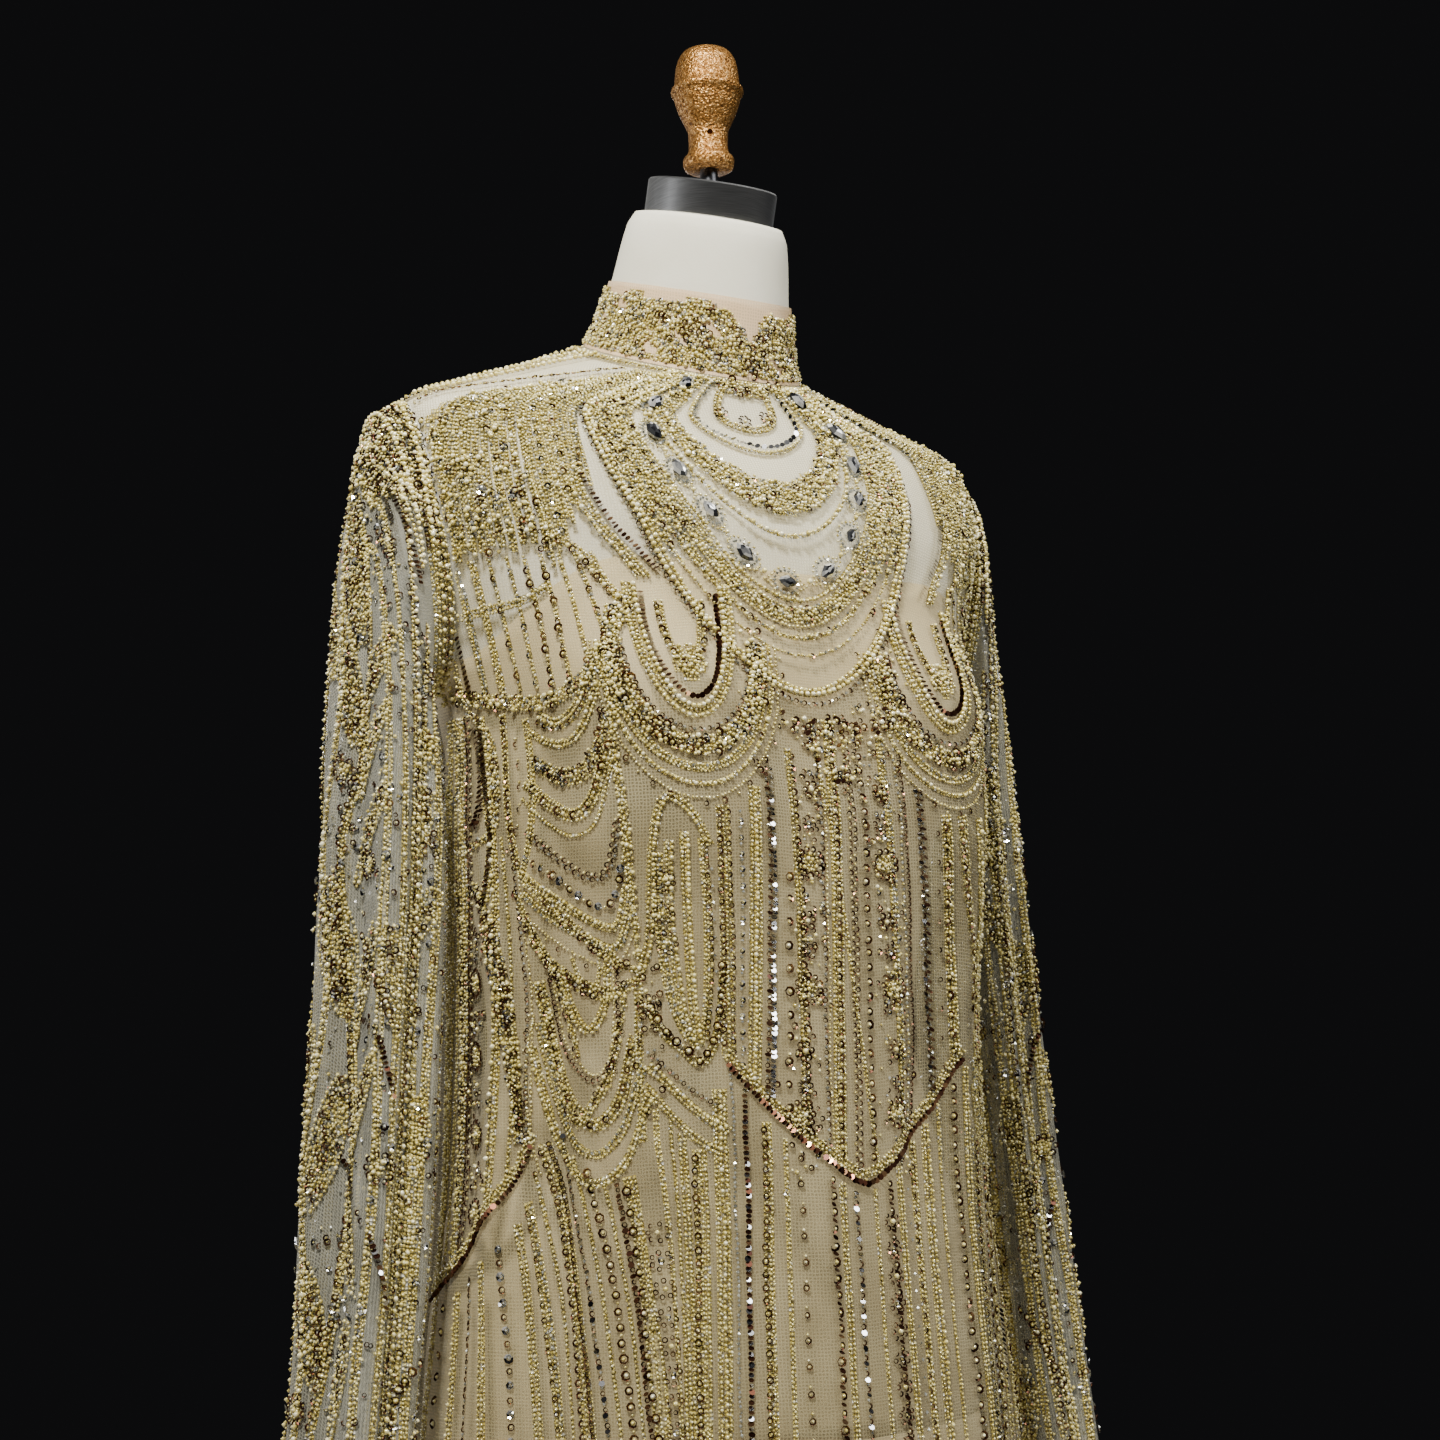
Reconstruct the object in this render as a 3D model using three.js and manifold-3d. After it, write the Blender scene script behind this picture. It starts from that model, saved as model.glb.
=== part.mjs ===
// A beaded kaftan gown on a dress form, in millimetres, +Z up, the wearer facing -Y.
// The form stands on a round base at the origin. Over it hang a strapless slip (the lining), then the sheer
// gown: a front, two backs that button at the nape, two long sleeves and a stand collar.
import * as THREE from "three";
import { mergeVertices } from "three/addons/utils/BufferGeometryUtils.js";
import Module from "manifold-3d";

const wasm = await Module();
wasm.setup();

// ---- driving dimensions ----
const SEAM = 0.3; // gap between two pieces that are sewn together
const NET = 1.2; // wall of the beaded net
const SLIP = 1.2; // wall of the slip
const SLIP_EASE = 0.8; // from the form to the slip
const NET_EASE = 0.9; // from the form to the net where it rests on the shoulders
const COLUMNS = 40; // divisions round the body
const HEM = 25; // height of the gown's hem
const SLIP_HEM = 62;
const FORM_BOTTOM = 770;
const NECK_SEAM = 1422; // height at the sides of the seam between gown and collar
const COLLAR_TOP = 1460;

// ---- sections of the dress form, from the hips to the top of the neck ----
// z is a section's height at its centre, wide its half width, front and back its depths from centreY,
// and tilt how much it rises for each millimetre towards the back.
const FORM = [
  { z: 770, wide: 138, front: 88, back: 104, centreY: 0, tilt: 0 },
  { z: 850, wide: 156, front: 100, back: 118, centreY: 0, tilt: 0 },
  { z: 930, wide: 150, front: 98, back: 109, centreY: 0, tilt: 0 },
  { z: 1000, wide: 132, front: 90, back: 90, centreY: 0, tilt: 0 },
  { z: 1050, wide: 121, front: 86, back: 80, centreY: 0, tilt: 0 },
  { z: 1110, wide: 127, front: 93, back: 86, centreY: 0, tilt: 0 },
  { z: 1170, wide: 137, front: 103, back: 96, centreY: 0, tilt: 0 },
  { z: 1215, wide: 145, front: 110, back: 102, centreY: 0, tilt: 0 },
  { z: 1300, wide: 166, front: 106, back: 104, centreY: 0, tilt: 0 },
  { z: 1335, wide: 175, front: 95, back: 98, centreY: 0, tilt: 0.03 },
  { z: 1358, wide: 177, front: 84, back: 90, centreY: 0, tilt: 0.08 },
  { z: 1374, wide: 175, front: 75, back: 82, centreY: 0, tilt: 0.14 },
  { z: 1383, wide: 167, front: 71, back: 77, centreY: 0, tilt: 0.19 },
  { z: 1391, wide: 147, front: 68, back: 73, centreY: 0, tilt: 0.24 },
  { z: 1400, wide: 121, front: 65, back: 68, centreY: 0, tilt: 0.29 },
  { z: 1411, wide: 89, front: 61, back: 62, centreY: -1, tilt: 0.35 },
  { z: 1422, wide: 60, front: 57, back: 56, centreY: -2, tilt: 0.42 },
  { z: 1440, wide: 53, front: 52, back: 51, centreY: -7, tilt: 0.39 },
  { z: 1460, wide: 49.5, front: 49, back: 48, centreY: -13, tilt: 0.35 },
  { z: 1492, wide: 44.5, front: 44, back: 43, centreY: -22, tilt: 0.32 },
  { z: 1499, wide: 41, front: 40.5, back: 39.5, centreY: -24, tilt: 0.32 },
];

// ---- how the net hangs clear of the form below the bust: half width and depths of its sections ----
const HANG = [
  { z: 25, wide: 268, front: 238, back: 246 },
  { z: 350, wide: 228, front: 198, back: 208 },
  { z: 700, wide: 180, front: 154, back: 162 },
  { z: 850, wide: 162, front: 142, back: 142 },
  { z: 1000, wide: 148, front: 133, back: 124 },
  { z: 1110, wide: 146, front: 127, back: 114 },
  { z: 1180, wide: 147, front: 121, back: 108 },
];

// ---- the slip's skirt below the hips ----
const SLIP_SKIRT = [
  { z: 62, wide: 220, front: 176, back: 190 },
  { z: 350, wide: 196, front: 146, back: 162 },
  { z: 700, wide: 168, front: 110, back: 130 },
  { z: 850, wide: 156, front: 100, back: 118 },
];
const HIP_SEAM = 850; // where the slip's skirt is joined to its body
const SLIP_TOP = { side: 1243, rise: 40, from: 1.4, to: 0.58, cup: 5 }; // its top edge rises over the bust

const BUST = { z: 1213, angle: 0.6, high: 46, low: 54, across: 0.36, out: 24 };
const NET_LOW = 130; // how far below the bust the net keeps its shape as it falls
const FOLDS = { top: 900, count: 8, deep: 15 }; // soft folds of the gown's skirt

// Heights of the rows of points. The form, slip and net share them, so that their facets never cross.
const ROWS_NET_SKIRT = [HEM, 130, 245, 360, 480, 600, 700, 790];
const ROWS_SLIP_SKIRT = [SLIP_HEM, 380, 700, 790];
const ROWS_BODY = [850, 930, 1000, 1050, 1105, 1150, 1180, 1198, 1214, 1234, 1262, 1300];
const ROWS_SHOULDER = [1330, 1352, 1366, 1375, 1383, 1391, 1400, 1411];

// The armhole is an oval in the side view. Each ring of a sleeve is given by its outermost and innermost
// points [x, z], its half depth and the y of its middle; the folds are lengthwise.
const ARMHOLE = { y: 4, z: 1305, deep: 35, high: 76 };
const SLEEVE_ROUND = 22;
const SLEEVE_RIGHT = [
  { outer: [189, 1372], inner: [164, 1221], deep: 37, y: 3, fold: 0 },
  { outer: [197, 1345], inner: [165, 1206], deep: 39, y: 2, fold: 0.03 },
  { outer: [204, 1300], inner: [163, 1188], deep: 41, y: 0, fold: 0.06 },
  { outer: [211, 1228], inner: [160, 1160], deep: 43, y: -2, fold: 0.1 },
  { outer: [217, 1145], inner: [159, 1118], deep: 44, y: -3, fold: 0.12 },
  { outer: [221, 1060], inner: [163, 1045], deep: 44, y: -4, fold: 0.13 },
  { outer: [228, 965], inner: [169, 955], deep: 45, y: -4, fold: 0.13 },
  { outer: [236, 868], inner: [179, 862], deep: 47, y: -4, fold: 0.12 },
  { outer: [243, 770], inner: [189, 767], deep: 50, y: -3, fold: 0.1 },
];
const SLEEVE_LEFT = [
  { outer: [184, 1371], inner: [164, 1221], deep: 37, y: 3, fold: 0 },
  { outer: [188, 1345], inner: [164, 1206], deep: 39, y: 3, fold: 0.03 },
  { outer: [192, 1300], inner: [162, 1188], deep: 41, y: 4, fold: 0.06 },
  { outer: [198, 1228], inner: [160, 1160], deep: 43, y: 5, fold: 0.1 },
  { outer: [208, 1145], inner: [158, 1118], deep: 44, y: 5, fold: 0.12 },
  { outer: [217, 1055], inner: [162, 1040], deep: 44, y: 5, fold: 0.13 },
  { outer: [227, 960], inner: [170, 950], deep: 45, y: 4, fold: 0.13 },
  { outer: [236, 868], inner: [179, 860], deep: 47, y: 3, fold: 0.12 },
  { outer: [246, 770], inner: [191, 765], deep: 50, y: 2, fold: 0.1 },
];

// ---- smooth interpolation of one column of a table (a monotone cubic) ----
function column(table, key, z) {
  const last = table.length - 1;
  if (z <= table[0].z) return table[0][key];
  if (z >= table[last].z) return table[last][key];
  const slope = (i) => (table[i + 1][key] - table[i][key]) / (table[i + 1].z - table[i].z);
  const tangent = (i) => {
    if (i === 0) return slope(0);
    if (i === last) return slope(last - 1);
    const before = slope(i - 1);
    const after = slope(i);
    return before * after <= 0 ? 0 : (2 * before * after) / (before + after);
  };
  let i = 0;
  while (table[i + 1].z < z) i++;
  const span = table[i + 1].z - table[i].z;
  const t = (z - table[i].z) / span;
  return (
    table[i][key] * (1 + 2 * t) * (1 - t) ** 2 +
    tangent(i) * span * t * (1 - t) ** 2 +
    table[i + 1][key] * t * t * (3 - 2 * t) +
    tangent(i + 1) * span * t * t * (t - 1)
  );
}

const smooth = (low, high, x) => THREE.MathUtils.smoothstep(x, low, high);

// How far the bust stands out at an angle from centre front. Below it the net falls more slowly than the form.
function bustOut(angle, z, low) {
  const fall = z > BUST.z ? BUST.high : low;
  const rise = Math.exp(-(((z - BUST.z) / fall) ** 2));
  const side = (sign) => Math.exp(-(((angle - sign * BUST.angle) / BUST.across) ** 2));
  return BUST.out * rise * (side(1) + side(-1));
}

// A point of an elliptical section. The angle is 0 at centre front and grows towards the wearer's left (+X).
function sectionPoint(s, angle, out) {
  const depth = Math.cos(angle) > 0 ? s.front : s.back;
  const x = s.wide * Math.sin(angle);
  const y = s.centreY - depth * Math.cos(angle);
  const radial = Math.hypot(x, y - s.centreY);
  const grow = 1 + out / radial;
  const yOut = s.centreY + (y - s.centreY) * grow;
  return new THREE.Vector3(x * grow, yOut, s.z + s.tilt * (yOut - s.centreY));
}

function formSection(z) {
  const section = { z };
  for (const key of ["wide", "front", "back", "centreY", "tilt"]) section[key] = column(FORM, key, z);
  return section;
}

const wrap = (angle) => Math.atan2(Math.sin(angle), Math.cos(angle));

const formPoint = (angle, z) => sectionPoint(formSection(z), angle, bustOut(wrap(angle), z, BUST.low));

// The slip is the form's shape to the hips, and a plain flared skirt below them.
function slipPoint(angle, z) {
  const section = formSection(z);
  if (z < 850)
    for (const key of ["wide", "front", "back"]) section[key] = column(SLIP_SKIRT, key, z);
  return sectionPoint(section, angle, bustOut(wrap(angle), z, BUST.low));
}

function slipTop(angle) {
  const across = Math.abs(wrap(angle));
  const { side, rise, from, to, cup } = SLIP_TOP;
  const cups = cup * Math.exp(-(((across - BUST.angle) / 0.3) ** 2));
  return side + rise * (1 - smooth(to, from, across)) + cups;
}

function foldOut(angle, z) {
  const depth = FOLDS.deep * (1 - smooth(HEM, FOLDS.top, z));
  const uneven = 0.75 + 0.35 * Math.sin(3 * angle + 0.8);
  return depth * uneven * Math.cos(FOLDS.count * angle + 0.5 * Math.sin(2 * angle));
}

// The net lies on the form above the bust, and below it hangs clear, as its own sections say.
function netPoint(angle, z) {
  const section = formSection(z);
  const hang = 1 - smooth(1150, 1262, z);
  for (const key of ["wide", "front", "back"]) {
    const hung = column(HANG, key, z);
    section[key] += hang * Math.max(0, hung - section[key]);
  }
  const low = z < BUST.z ? NET_LOW : BUST.high;
  const over = 2.2 * (1 - smooth(1325, 1360, z)); // clear of the slip
  return sectionPoint(section, angle, bustOut(wrap(angle), z, low) + over + foldOut(angle, z));
}

// A surface point moved outwards along the surface's normal.
function moved(surface, angle, z, out) {
  const step = 0.002;
  const across = surface(angle + step, z).sub(surface(angle - step, z));
  const up = surface(angle, z + 0.5).sub(surface(angle, z - 0.5));
  const normal = across.cross(up).normalize();
  return surface(angle, z).addScaledVector(normal, out);
}

// ---- closed meshes from rows of points ----
function geometryFrom(points, faces) {
  const geometry = new THREE.BufferGeometry();
  geometry.setAttribute("position", new THREE.Float32BufferAttribute(points.flatMap((p) => p.toArray()), 3));
  geometry.setIndex(faces);
  return geometry;
}

// A panel of cloth: rows of [inner point, outer point], closed all round its edge.
function panel(rows) {
  const points = [];
  const faces = [];
  const wide = rows[0].length;
  const index = (r, c, side) => 2 * (r * wide + c) + side;
  rows.forEach((row) => row.forEach(([inner, outer]) => points.push(inner, outer)));
  const quad = (a, b, c, d) => faces.push(a, b, c, a, c, d);
  for (let r = 0; r + 1 < rows.length; r++)
    for (let c = 0; c + 1 < wide; c++) {
      quad(index(r, c, 1), index(r, c + 1, 1), index(r + 1, c + 1, 1), index(r + 1, c, 1));
      quad(index(r, c, 0), index(r + 1, c, 0), index(r + 1, c + 1, 0), index(r, c + 1, 0));
    }
  const top = rows.length - 1;
  for (let c = 0; c + 1 < wide; c++) {
    quad(index(0, c, 0), index(0, c + 1, 0), index(0, c + 1, 1), index(0, c, 1));
    quad(index(top, c, 1), index(top, c + 1, 1), index(top, c + 1, 0), index(top, c, 0));
  }
  for (let r = 0; r < top; r++) {
    quad(index(r, 0, 0), index(r, 0, 1), index(r + 1, 0, 1), index(r + 1, 0, 0));
    const c = wide - 1;
    quad(index(r, c, 1), index(r, c, 0), index(r + 1, c, 0), index(r + 1, c, 1));
  }
  return geometryFrom(points, faces);
}

// A tube of cloth, open at both ends: rings of [inner point, outer point].
function tube(rings) {
  const points = [];
  const faces = [];
  const round = rings[0].length;
  const index = (r, c, side) => 2 * (r * round + (c % round)) + side;
  rings.forEach((ring) => ring.forEach(([inner, outer]) => points.push(inner, outer)));
  const quad = (a, b, c, d) => faces.push(a, b, c, a, c, d);
  const top = rings.length - 1;
  for (let c = 0; c < round; c++) {
    for (let r = 0; r < top; r++) {
      quad(index(r, c, 1), index(r, c + 1, 1), index(r + 1, c + 1, 1), index(r + 1, c, 1));
      quad(index(r, c, 0), index(r + 1, c, 0), index(r + 1, c + 1, 0), index(r, c + 1, 0));
    }
    quad(index(0, c, 0), index(0, c + 1, 0), index(0, c + 1, 1), index(0, c, 1));
    quad(index(top, c, 1), index(top, c + 1, 1), index(top, c + 1, 0), index(top, c, 0));
  }
  return geometryFrom(points, faces);
}

// A solid lofted through rings, with flat ends.
function loft(rings) {
  const points = rings.flat();
  const faces = [];
  const round = rings[0].length;
  const index = (r, c) => r * round + (c % round);
  const top = rings.length - 1;
  for (let c = 0; c < round; c++)
    for (let r = 0; r < top; r++)
      faces.push(
        ...[index(r, c), index(r, c + 1), index(r + 1, c + 1)],
        ...[index(r, c), index(r + 1, c + 1), index(r + 1, c)],
      );
  for (const [r, turn] of [[0, 1], [top, 0]]) {
    const centre = points.length;
    points.push(rings[r].reduce((sum, p) => sum.add(p), new THREE.Vector3()).divideScalar(round));
    for (let c = 0; c < round; c++)
      faces.push(centre, index(r, c + turn), index(r, c + 1 - turn));
  }
  return geometryFrom(points, faces);
}

// ---- cutting ----
function solid(geometry) {
  const bare = geometry.index ? geometry.toNonIndexed() : geometry.clone();
  for (const name of Object.keys(bare.attributes)) if (name !== "position") bare.deleteAttribute(name);
  const merged = mergeVertices(bare, 1e-3);
  const mesh = new wasm.Mesh({
    numProp: 3,
    vertProperties: merged.attributes.position.array,
    triVerts: new Uint32Array(merged.index.array),
  });
  return new wasm.Manifold(mesh);
}

function geometryOf(manifold) {
  const mesh = manifold.getMesh();
  const geometry = new THREE.BufferGeometry();
  geometry.setAttribute("position", new THREE.BufferAttribute(mesh.vertProperties, 3));
  geometry.setIndex(new THREE.BufferAttribute(mesh.triVerts, 1));
  return geometry;
}

const cut = (geometry, ...cutters) =>
  geometryOf(cutters.reduce((left, cutter) => left.subtract(solid(cutter)), solid(geometry)));

// ---- materials ----
const finish = (color, roughness, metalness, more = {}) =>
  new THREE.MeshStandardMaterial({ color, roughness, metalness, ...more });
const NET_FINISH = finish(0xd8c68e, 0.55, 0.1, { transparent: true, opacity: 0.75 });
const SLIP_FINISH = finish(0xc9ab80, 0.7, 0);
const FORM_FINISH = finish(0xe9e6da, 0.75, 0);
const STEEL_FINISH = finish(0xa5a7a9, 0.3, 1);
const GOLD_FINISH = finish(0xb98a45, 0.42, 0.85);
const PEARL_FINISH = finish(0xe3d6a0, 0.3, 0.1);

const model = new THREE.Group();
function add(name, geometry, material) {
  const mesh = new THREE.Mesh(geometry, material);
  mesh.name = name;
  model.add(mesh);
  return mesh;
}

// ---- the dress form and its stand ----
const turned = (profile, segments = 40) =>
  new THREE.LatheGeometry(profile.map(([r, z]) => new THREE.Vector2(r, z)), segments).rotateX(Math.PI / 2);

const angles = (from, to, steps) =>
  Array.from({ length: steps + 1 }, (_, i) => from + ((to - from) * i) / steps);
const ROUND = angles(0, 2 * Math.PI, COLUMNS).slice(0, COLUMNS);

function buildForm() {
  const neck = [NECK_SEAM, 1434, 1447, COLLAR_TOP, 1476, 1492, 1499];
  const heights = [FORM_BOTTOM, 790, ...ROWS_BODY, ...ROWS_SHOULDER, ...neck];
  add("form_torso", loft(heights.map((z) => ROUND.map((angle) => formPoint(angle, z)))), FORM_FINISH);
}

const BASE = { radius: 172, thick: 12, rise: 22 };
const POLE_RADIUS = 15;

function buildStand() {
  const { radius, thick, rise } = BASE;
  const base = turned([
    [0, 0],
    [radius, 0],
    [radius, thick],
    [radius - 5, thick + 4],
    [40, rise],
    [30, rise + 8],
    [0, rise + 8],
  ]);
  add("stand_base", base, STEEL_FINISH);
  const foot = rise + 8 + SEAM;
  const poleTop = FORM_BOTTOM - 36;
  const pole = turned([[0, foot], [POLE_RADIUS, foot], [POLE_RADIUS, poleTop], [0, poleTop]], 24);
  add("stand_pole", pole, STEEL_FINISH);
  const socket = turned([
    [0, poleTop + SEAM],
    [22, poleTop + SEAM],
    [22, poleTop + 24],
    [55, poleTop + 30],
    [55, FORM_BOTTOM - SEAM],
    [0, FORM_BOTTOM - SEAM],
  ], 32);
  add("form_socket", socket, STEEL_FINISH);
}

// The steel cap closes the neck in the plane of its top, and the finial stands upright on a spindle above it.
const NECK_TOP = FORM[FORM.length - 1];
const LEAN = Math.atan(NECK_TOP.tilt);
const CAP = { radius: 36, thick: 19.5 };
const onNeck = (geometry) => geometry.rotateX(LEAN).translate(0, NECK_TOP.centreY, NECK_TOP.z);

function buildNeckHardware() {
  const { radius, thick } = CAP;
  const rim = [[radius, SEAM], [radius, thick - 1], [radius - 1, thick]];
  add("neck_cap", onNeck(turned([[0, SEAM], ...rim, [0, thick]], 48)), STEEL_FINISH);
}

const FINIAL_PROFILE = [
  { z: 0, r: 13.8 }, { z: 6.4, r: 14.4 }, { z: 8.4, r: 12.6 }, { z: 10.5, r: 11.1 }, { z: 23, r: 11.4 },
  { z: 27.5, r: 13.4 }, { z: 35, r: 16.8 }, { z: 42, r: 18.6 }, { z: 44.3, r: 20.3 }, { z: 46.6, r: 20.3 },
  { z: 49.4, r: 18.3 }, { z: 59, r: 17.5 }, { z: 65.4, r: 15.3 }, { z: 68.3, r: 12.6 },
];
const FINIAL = { gap: 5.5, spindle: 5, tall: 69.2, back: 4 }; // it stands a little behind the cap's middle

function buildFinial() {
  const y = NECK_TOP.centreY - Math.sin(LEAN) * CAP.thick + FINIAL.back;
  const capTop = NECK_TOP.z + Math.cos(LEAN) * CAP.thick;
  const low = capTop + (FINIAL_PROFILE[0].r + FINIAL.back) * NECK_TOP.tilt + FINIAL.gap;
  const body = turned([[0, 0], ...FINIAL_PROFILE.map((row) => [row.r, row.z]), [0, FINIAL.tall]], 36);
  const screwHole = new THREE.CylinderGeometry(1.6, 1.6, 8, 12).translate(0, -12.5, 0).rotateZ(-0.45);
  add("finial", cut(body.translate(0, y, low), screwHole.translate(0, y, low + 18)), GOLD_FINISH);
  const rod = turned([[0, -20], [FINIAL.spindle, -20], [FINIAL.spindle, 0], [0, 0]], 20);
  const capSpace = onNeck(turned([[0, -40], [60, -40], [60, CAP.thick + SEAM], [0, CAP.thick + SEAM]], 12));
  add("finial_spindle", cut(rod.translate(0, y, low - SEAM), capSpace), STEEL_FINISH);
}

// ---- the slip and the gown ----
// The angles of a panel's columns in one row, held back from the seams by half a seam's gap.
function panelAngles(surface, z, from, to, steps) {
  const step = 0.001;
  const held = (angle) => {
    const speed = surface(angle + step, z).distanceTo(surface(angle - step, z)) / (2 * step);
    return SEAM / 2 / speed;
  };
  const list = angles(from, to, steps);
  list[0] += held(from);
  list[steps] -= held(to);
  return list;
}

function clothPanel(surface, heights, from, to, low, thick) {
  const steps = Math.round((COLUMNS * (to - from)) / (2 * Math.PI));
  return panel(heights.map((z) => panelAngles(surface, z, from, to, steps).map((angle) => [
    moved(surface, angle, z, low),
    moved(surface, angle, z, low + thick),
  ])));
}

const QUARTER = Math.PI / 2;

function buildSlip() {
  const skirt = [...ROWS_SLIP_SKIRT, HIP_SEAM - SEAM / 2];
  const body = [HIP_SEAM + SEAM / 2, ...ROWS_BODY.slice(1)];
  const round = angles(0, 2 * Math.PI, 2 * COLUMNS).slice(1);
  const ring = (size, height) => round.map((angle) => {
    const z = height ?? slipTop(angle);
    return new THREE.Vector3(160 * size * Math.sin(angle), -112 * size * Math.cos(angle), z);
  });
  const above = loft([ring(0.75), ring(1.4), ring(1.4, 1400), ring(0.75, 1400)]);
  for (const [side, from] of [["front", -QUARTER], ["back", QUARTER]]) {
    const half = (heights) => clothPanel(slipPoint, heights, from, from + Math.PI, SLIP_EASE, SLIP);
    add(`lining_skirt_${side}`, half(skirt), SLIP_FINISH);
    add(`lining_body_${side}`, cut(half(body), above), SLIP_FINISH);
  }
}

// Where a surface has a point of its right or left side at a given y and z.
function sidePoint(surface, side, y, z) {
  let height = z;
  let point;
  for (let pass = 0; pass < 8; pass++) {
    let [front, back] = [0.02, Math.PI - 0.02];
    for (let halving = 0; halving < 24; halving++) {
      const middle = (front + back) / 2;
      point = surface(side * middle, height);
      if (point.y < y) front = middle;
      else back = middle;
    }
    height += z - point.z;
  }
  return point;
}

const oval = (turn, shrink) => ({
  y: ARMHOLE.y + (ARMHOLE.deep - shrink) * Math.cos(turn),
  z: ARMHOLE.z + (ARMHOLE.high - shrink) * Math.sin(turn),
});
const SLEEVE_TURNS = angles(0, 2 * Math.PI, SLEEVE_ROUND).slice(0, SLEEVE_ROUND);

function armholeCutter(side) {
  const ring = (x) => SLEEVE_TURNS.map((turn) => {
    const { y, z } = oval(side * turn, 0);
    return new THREE.Vector3(side * x, y, z);
  });
  return loft([ring(115), ring(320)]);
}

function buildGown() {
  const heights = [...ROWS_NET_SKIRT, ...ROWS_BODY, ...ROWS_SHOULDER, NECK_SEAM - 0.2];
  const net = (from, to) => clothPanel(netPoint, heights, from, to, NET_EASE, NET);
  const [right, left] = [armholeCutter(-1), armholeCutter(1)];
  add("gown_front", cut(net(-QUARTER, QUARTER), right, left), NET_FINISH);
  add("gown_back_left", cut(net(QUARTER, 2 * QUARTER), left), NET_FINISH);
  add("gown_back_right", cut(net(-2 * QUARTER, -QUARTER), right), NET_FINISH);
}

function buildCollar() {
  const heights = [NECK_SEAM + 0.2, 1434, 1447, COLLAR_TOP];
  add("collar", clothPanel(formPoint, heights, -Math.PI, Math.PI, NET_EASE, NET), NET_FINISH);
}

// Three pearl buttons hold the collar shut at the nape.
const BUTTONS = [1432, 1444, 1456];
const BUTTON_PROFILE = [[0, 0], [3, 0], [4, 1.6], [3.6, 3.4], [2.2, 4.8], [0, 5.4]];

function buildButtons() {
  BUTTONS.forEach((z, i) => {
    const seat = moved(formPoint, Math.PI, z, NET_EASE + NET + SEAM);
    const out = moved(formPoint, Math.PI, z, NET_EASE + NET + SEAM + 1).sub(seat);
    const facing = new THREE.Quaternion().setFromUnitVectors(new THREE.Vector3(0, 0, 1), out.normalize());
    const button = turned(BUTTON_PROFILE, 16).applyQuaternion(facing).translate(...seat.toArray());
    add(`nape_button_${i + 1}`, button, PEARL_FINISH);
  });
}

// A ring of a sleeve, in the plane through its outermost and innermost points. The turn is a quarter at the
// top of the armhole, which becomes the sleeve's outer side.
function sleeveRing(side, { outer, inner, deep, y, fold }, low) {
  const middle = new THREE.Vector3((side * (outer[0] + inner[0])) / 2, y, (outer[1] + inner[1]) / 2);
  const out = new THREE.Vector3((side * (outer[0] - inner[0])) / 2, 0, (outer[1] - inner[1]) / 2);
  const place = (turn) => {
    const folded = 1 + fold * Math.cos(5 * turn + side) - fold;
    return middle.clone().addScaledVector(out, Math.sin(turn) * folded).add(
      new THREE.Vector3(0, deep * Math.cos(turn) * folded, 0),
    );
  };
  const plane = out.clone().cross(new THREE.Vector3(0, 1, 0)).normalize();
  return SLEEVE_TURNS.map((base) => {
    const turn = side * base;
    const along = place(turn + 0.01).sub(place(turn - 0.01));
    const inward = along.cross(plane).normalize();
    return [place(turn).addScaledVector(inward, low + NET), place(turn).addScaledVector(inward, low)];
  });
}

function buildSleeve(name, side, table) {
  const start = (out) => SLEEVE_TURNS.map((turn) => {
    const at = (shrink) => {
      const { y, z } = oval(side * turn, shrink);
      const { x } = sidePoint(netPoint, side, y, z);
      return new THREE.Vector3(x + side * out, y, z);
    };
    return [at(SEAM + NET), at(SEAM)];
  });
  const hanging = table.map((row) => sleeveRing(side, row, 0));
  const rings = [start(NET_EASE + 0.4), start(NET_EASE + NET + 1.6), ...hanging];
  add(name, tube(rings), NET_FINISH);
}

buildForm();
buildStand();
buildNeckHardware();
buildFinial();
buildSlip();
buildGown();
buildCollar();
buildButtons();
buildSleeve("sleeve_right", -1, SLEEVE_RIGHT);
buildSleeve("sleeve_left", 1, SLEEVE_LEFT);

export default model;
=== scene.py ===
# %% [markdown]
# A beaded kaftan gown on a dress form. The real gown is sheer net with a strapless slip under it, and the
# net is covered by hand with pearls, seed beads, sequins and cut crystals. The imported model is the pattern:
# it holds each piece at its real size, and everything here is made on it and rides with it.

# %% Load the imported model
import math

import bmesh
import bpy
import numpy as np
from mathutils import Matrix, Vector


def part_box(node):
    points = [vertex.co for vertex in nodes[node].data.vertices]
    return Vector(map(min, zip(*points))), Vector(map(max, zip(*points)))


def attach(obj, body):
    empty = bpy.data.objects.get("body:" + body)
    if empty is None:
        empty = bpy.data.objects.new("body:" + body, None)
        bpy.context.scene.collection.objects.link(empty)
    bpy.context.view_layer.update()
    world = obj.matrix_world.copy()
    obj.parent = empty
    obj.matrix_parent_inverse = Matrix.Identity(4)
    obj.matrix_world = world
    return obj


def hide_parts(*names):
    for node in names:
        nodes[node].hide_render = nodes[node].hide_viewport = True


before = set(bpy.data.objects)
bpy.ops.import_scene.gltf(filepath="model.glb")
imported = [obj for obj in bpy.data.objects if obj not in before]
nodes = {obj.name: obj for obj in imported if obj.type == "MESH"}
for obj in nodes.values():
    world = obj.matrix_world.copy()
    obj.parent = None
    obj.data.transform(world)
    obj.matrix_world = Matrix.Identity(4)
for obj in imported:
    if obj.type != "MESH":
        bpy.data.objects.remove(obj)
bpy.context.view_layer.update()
MM = 0.001

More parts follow.
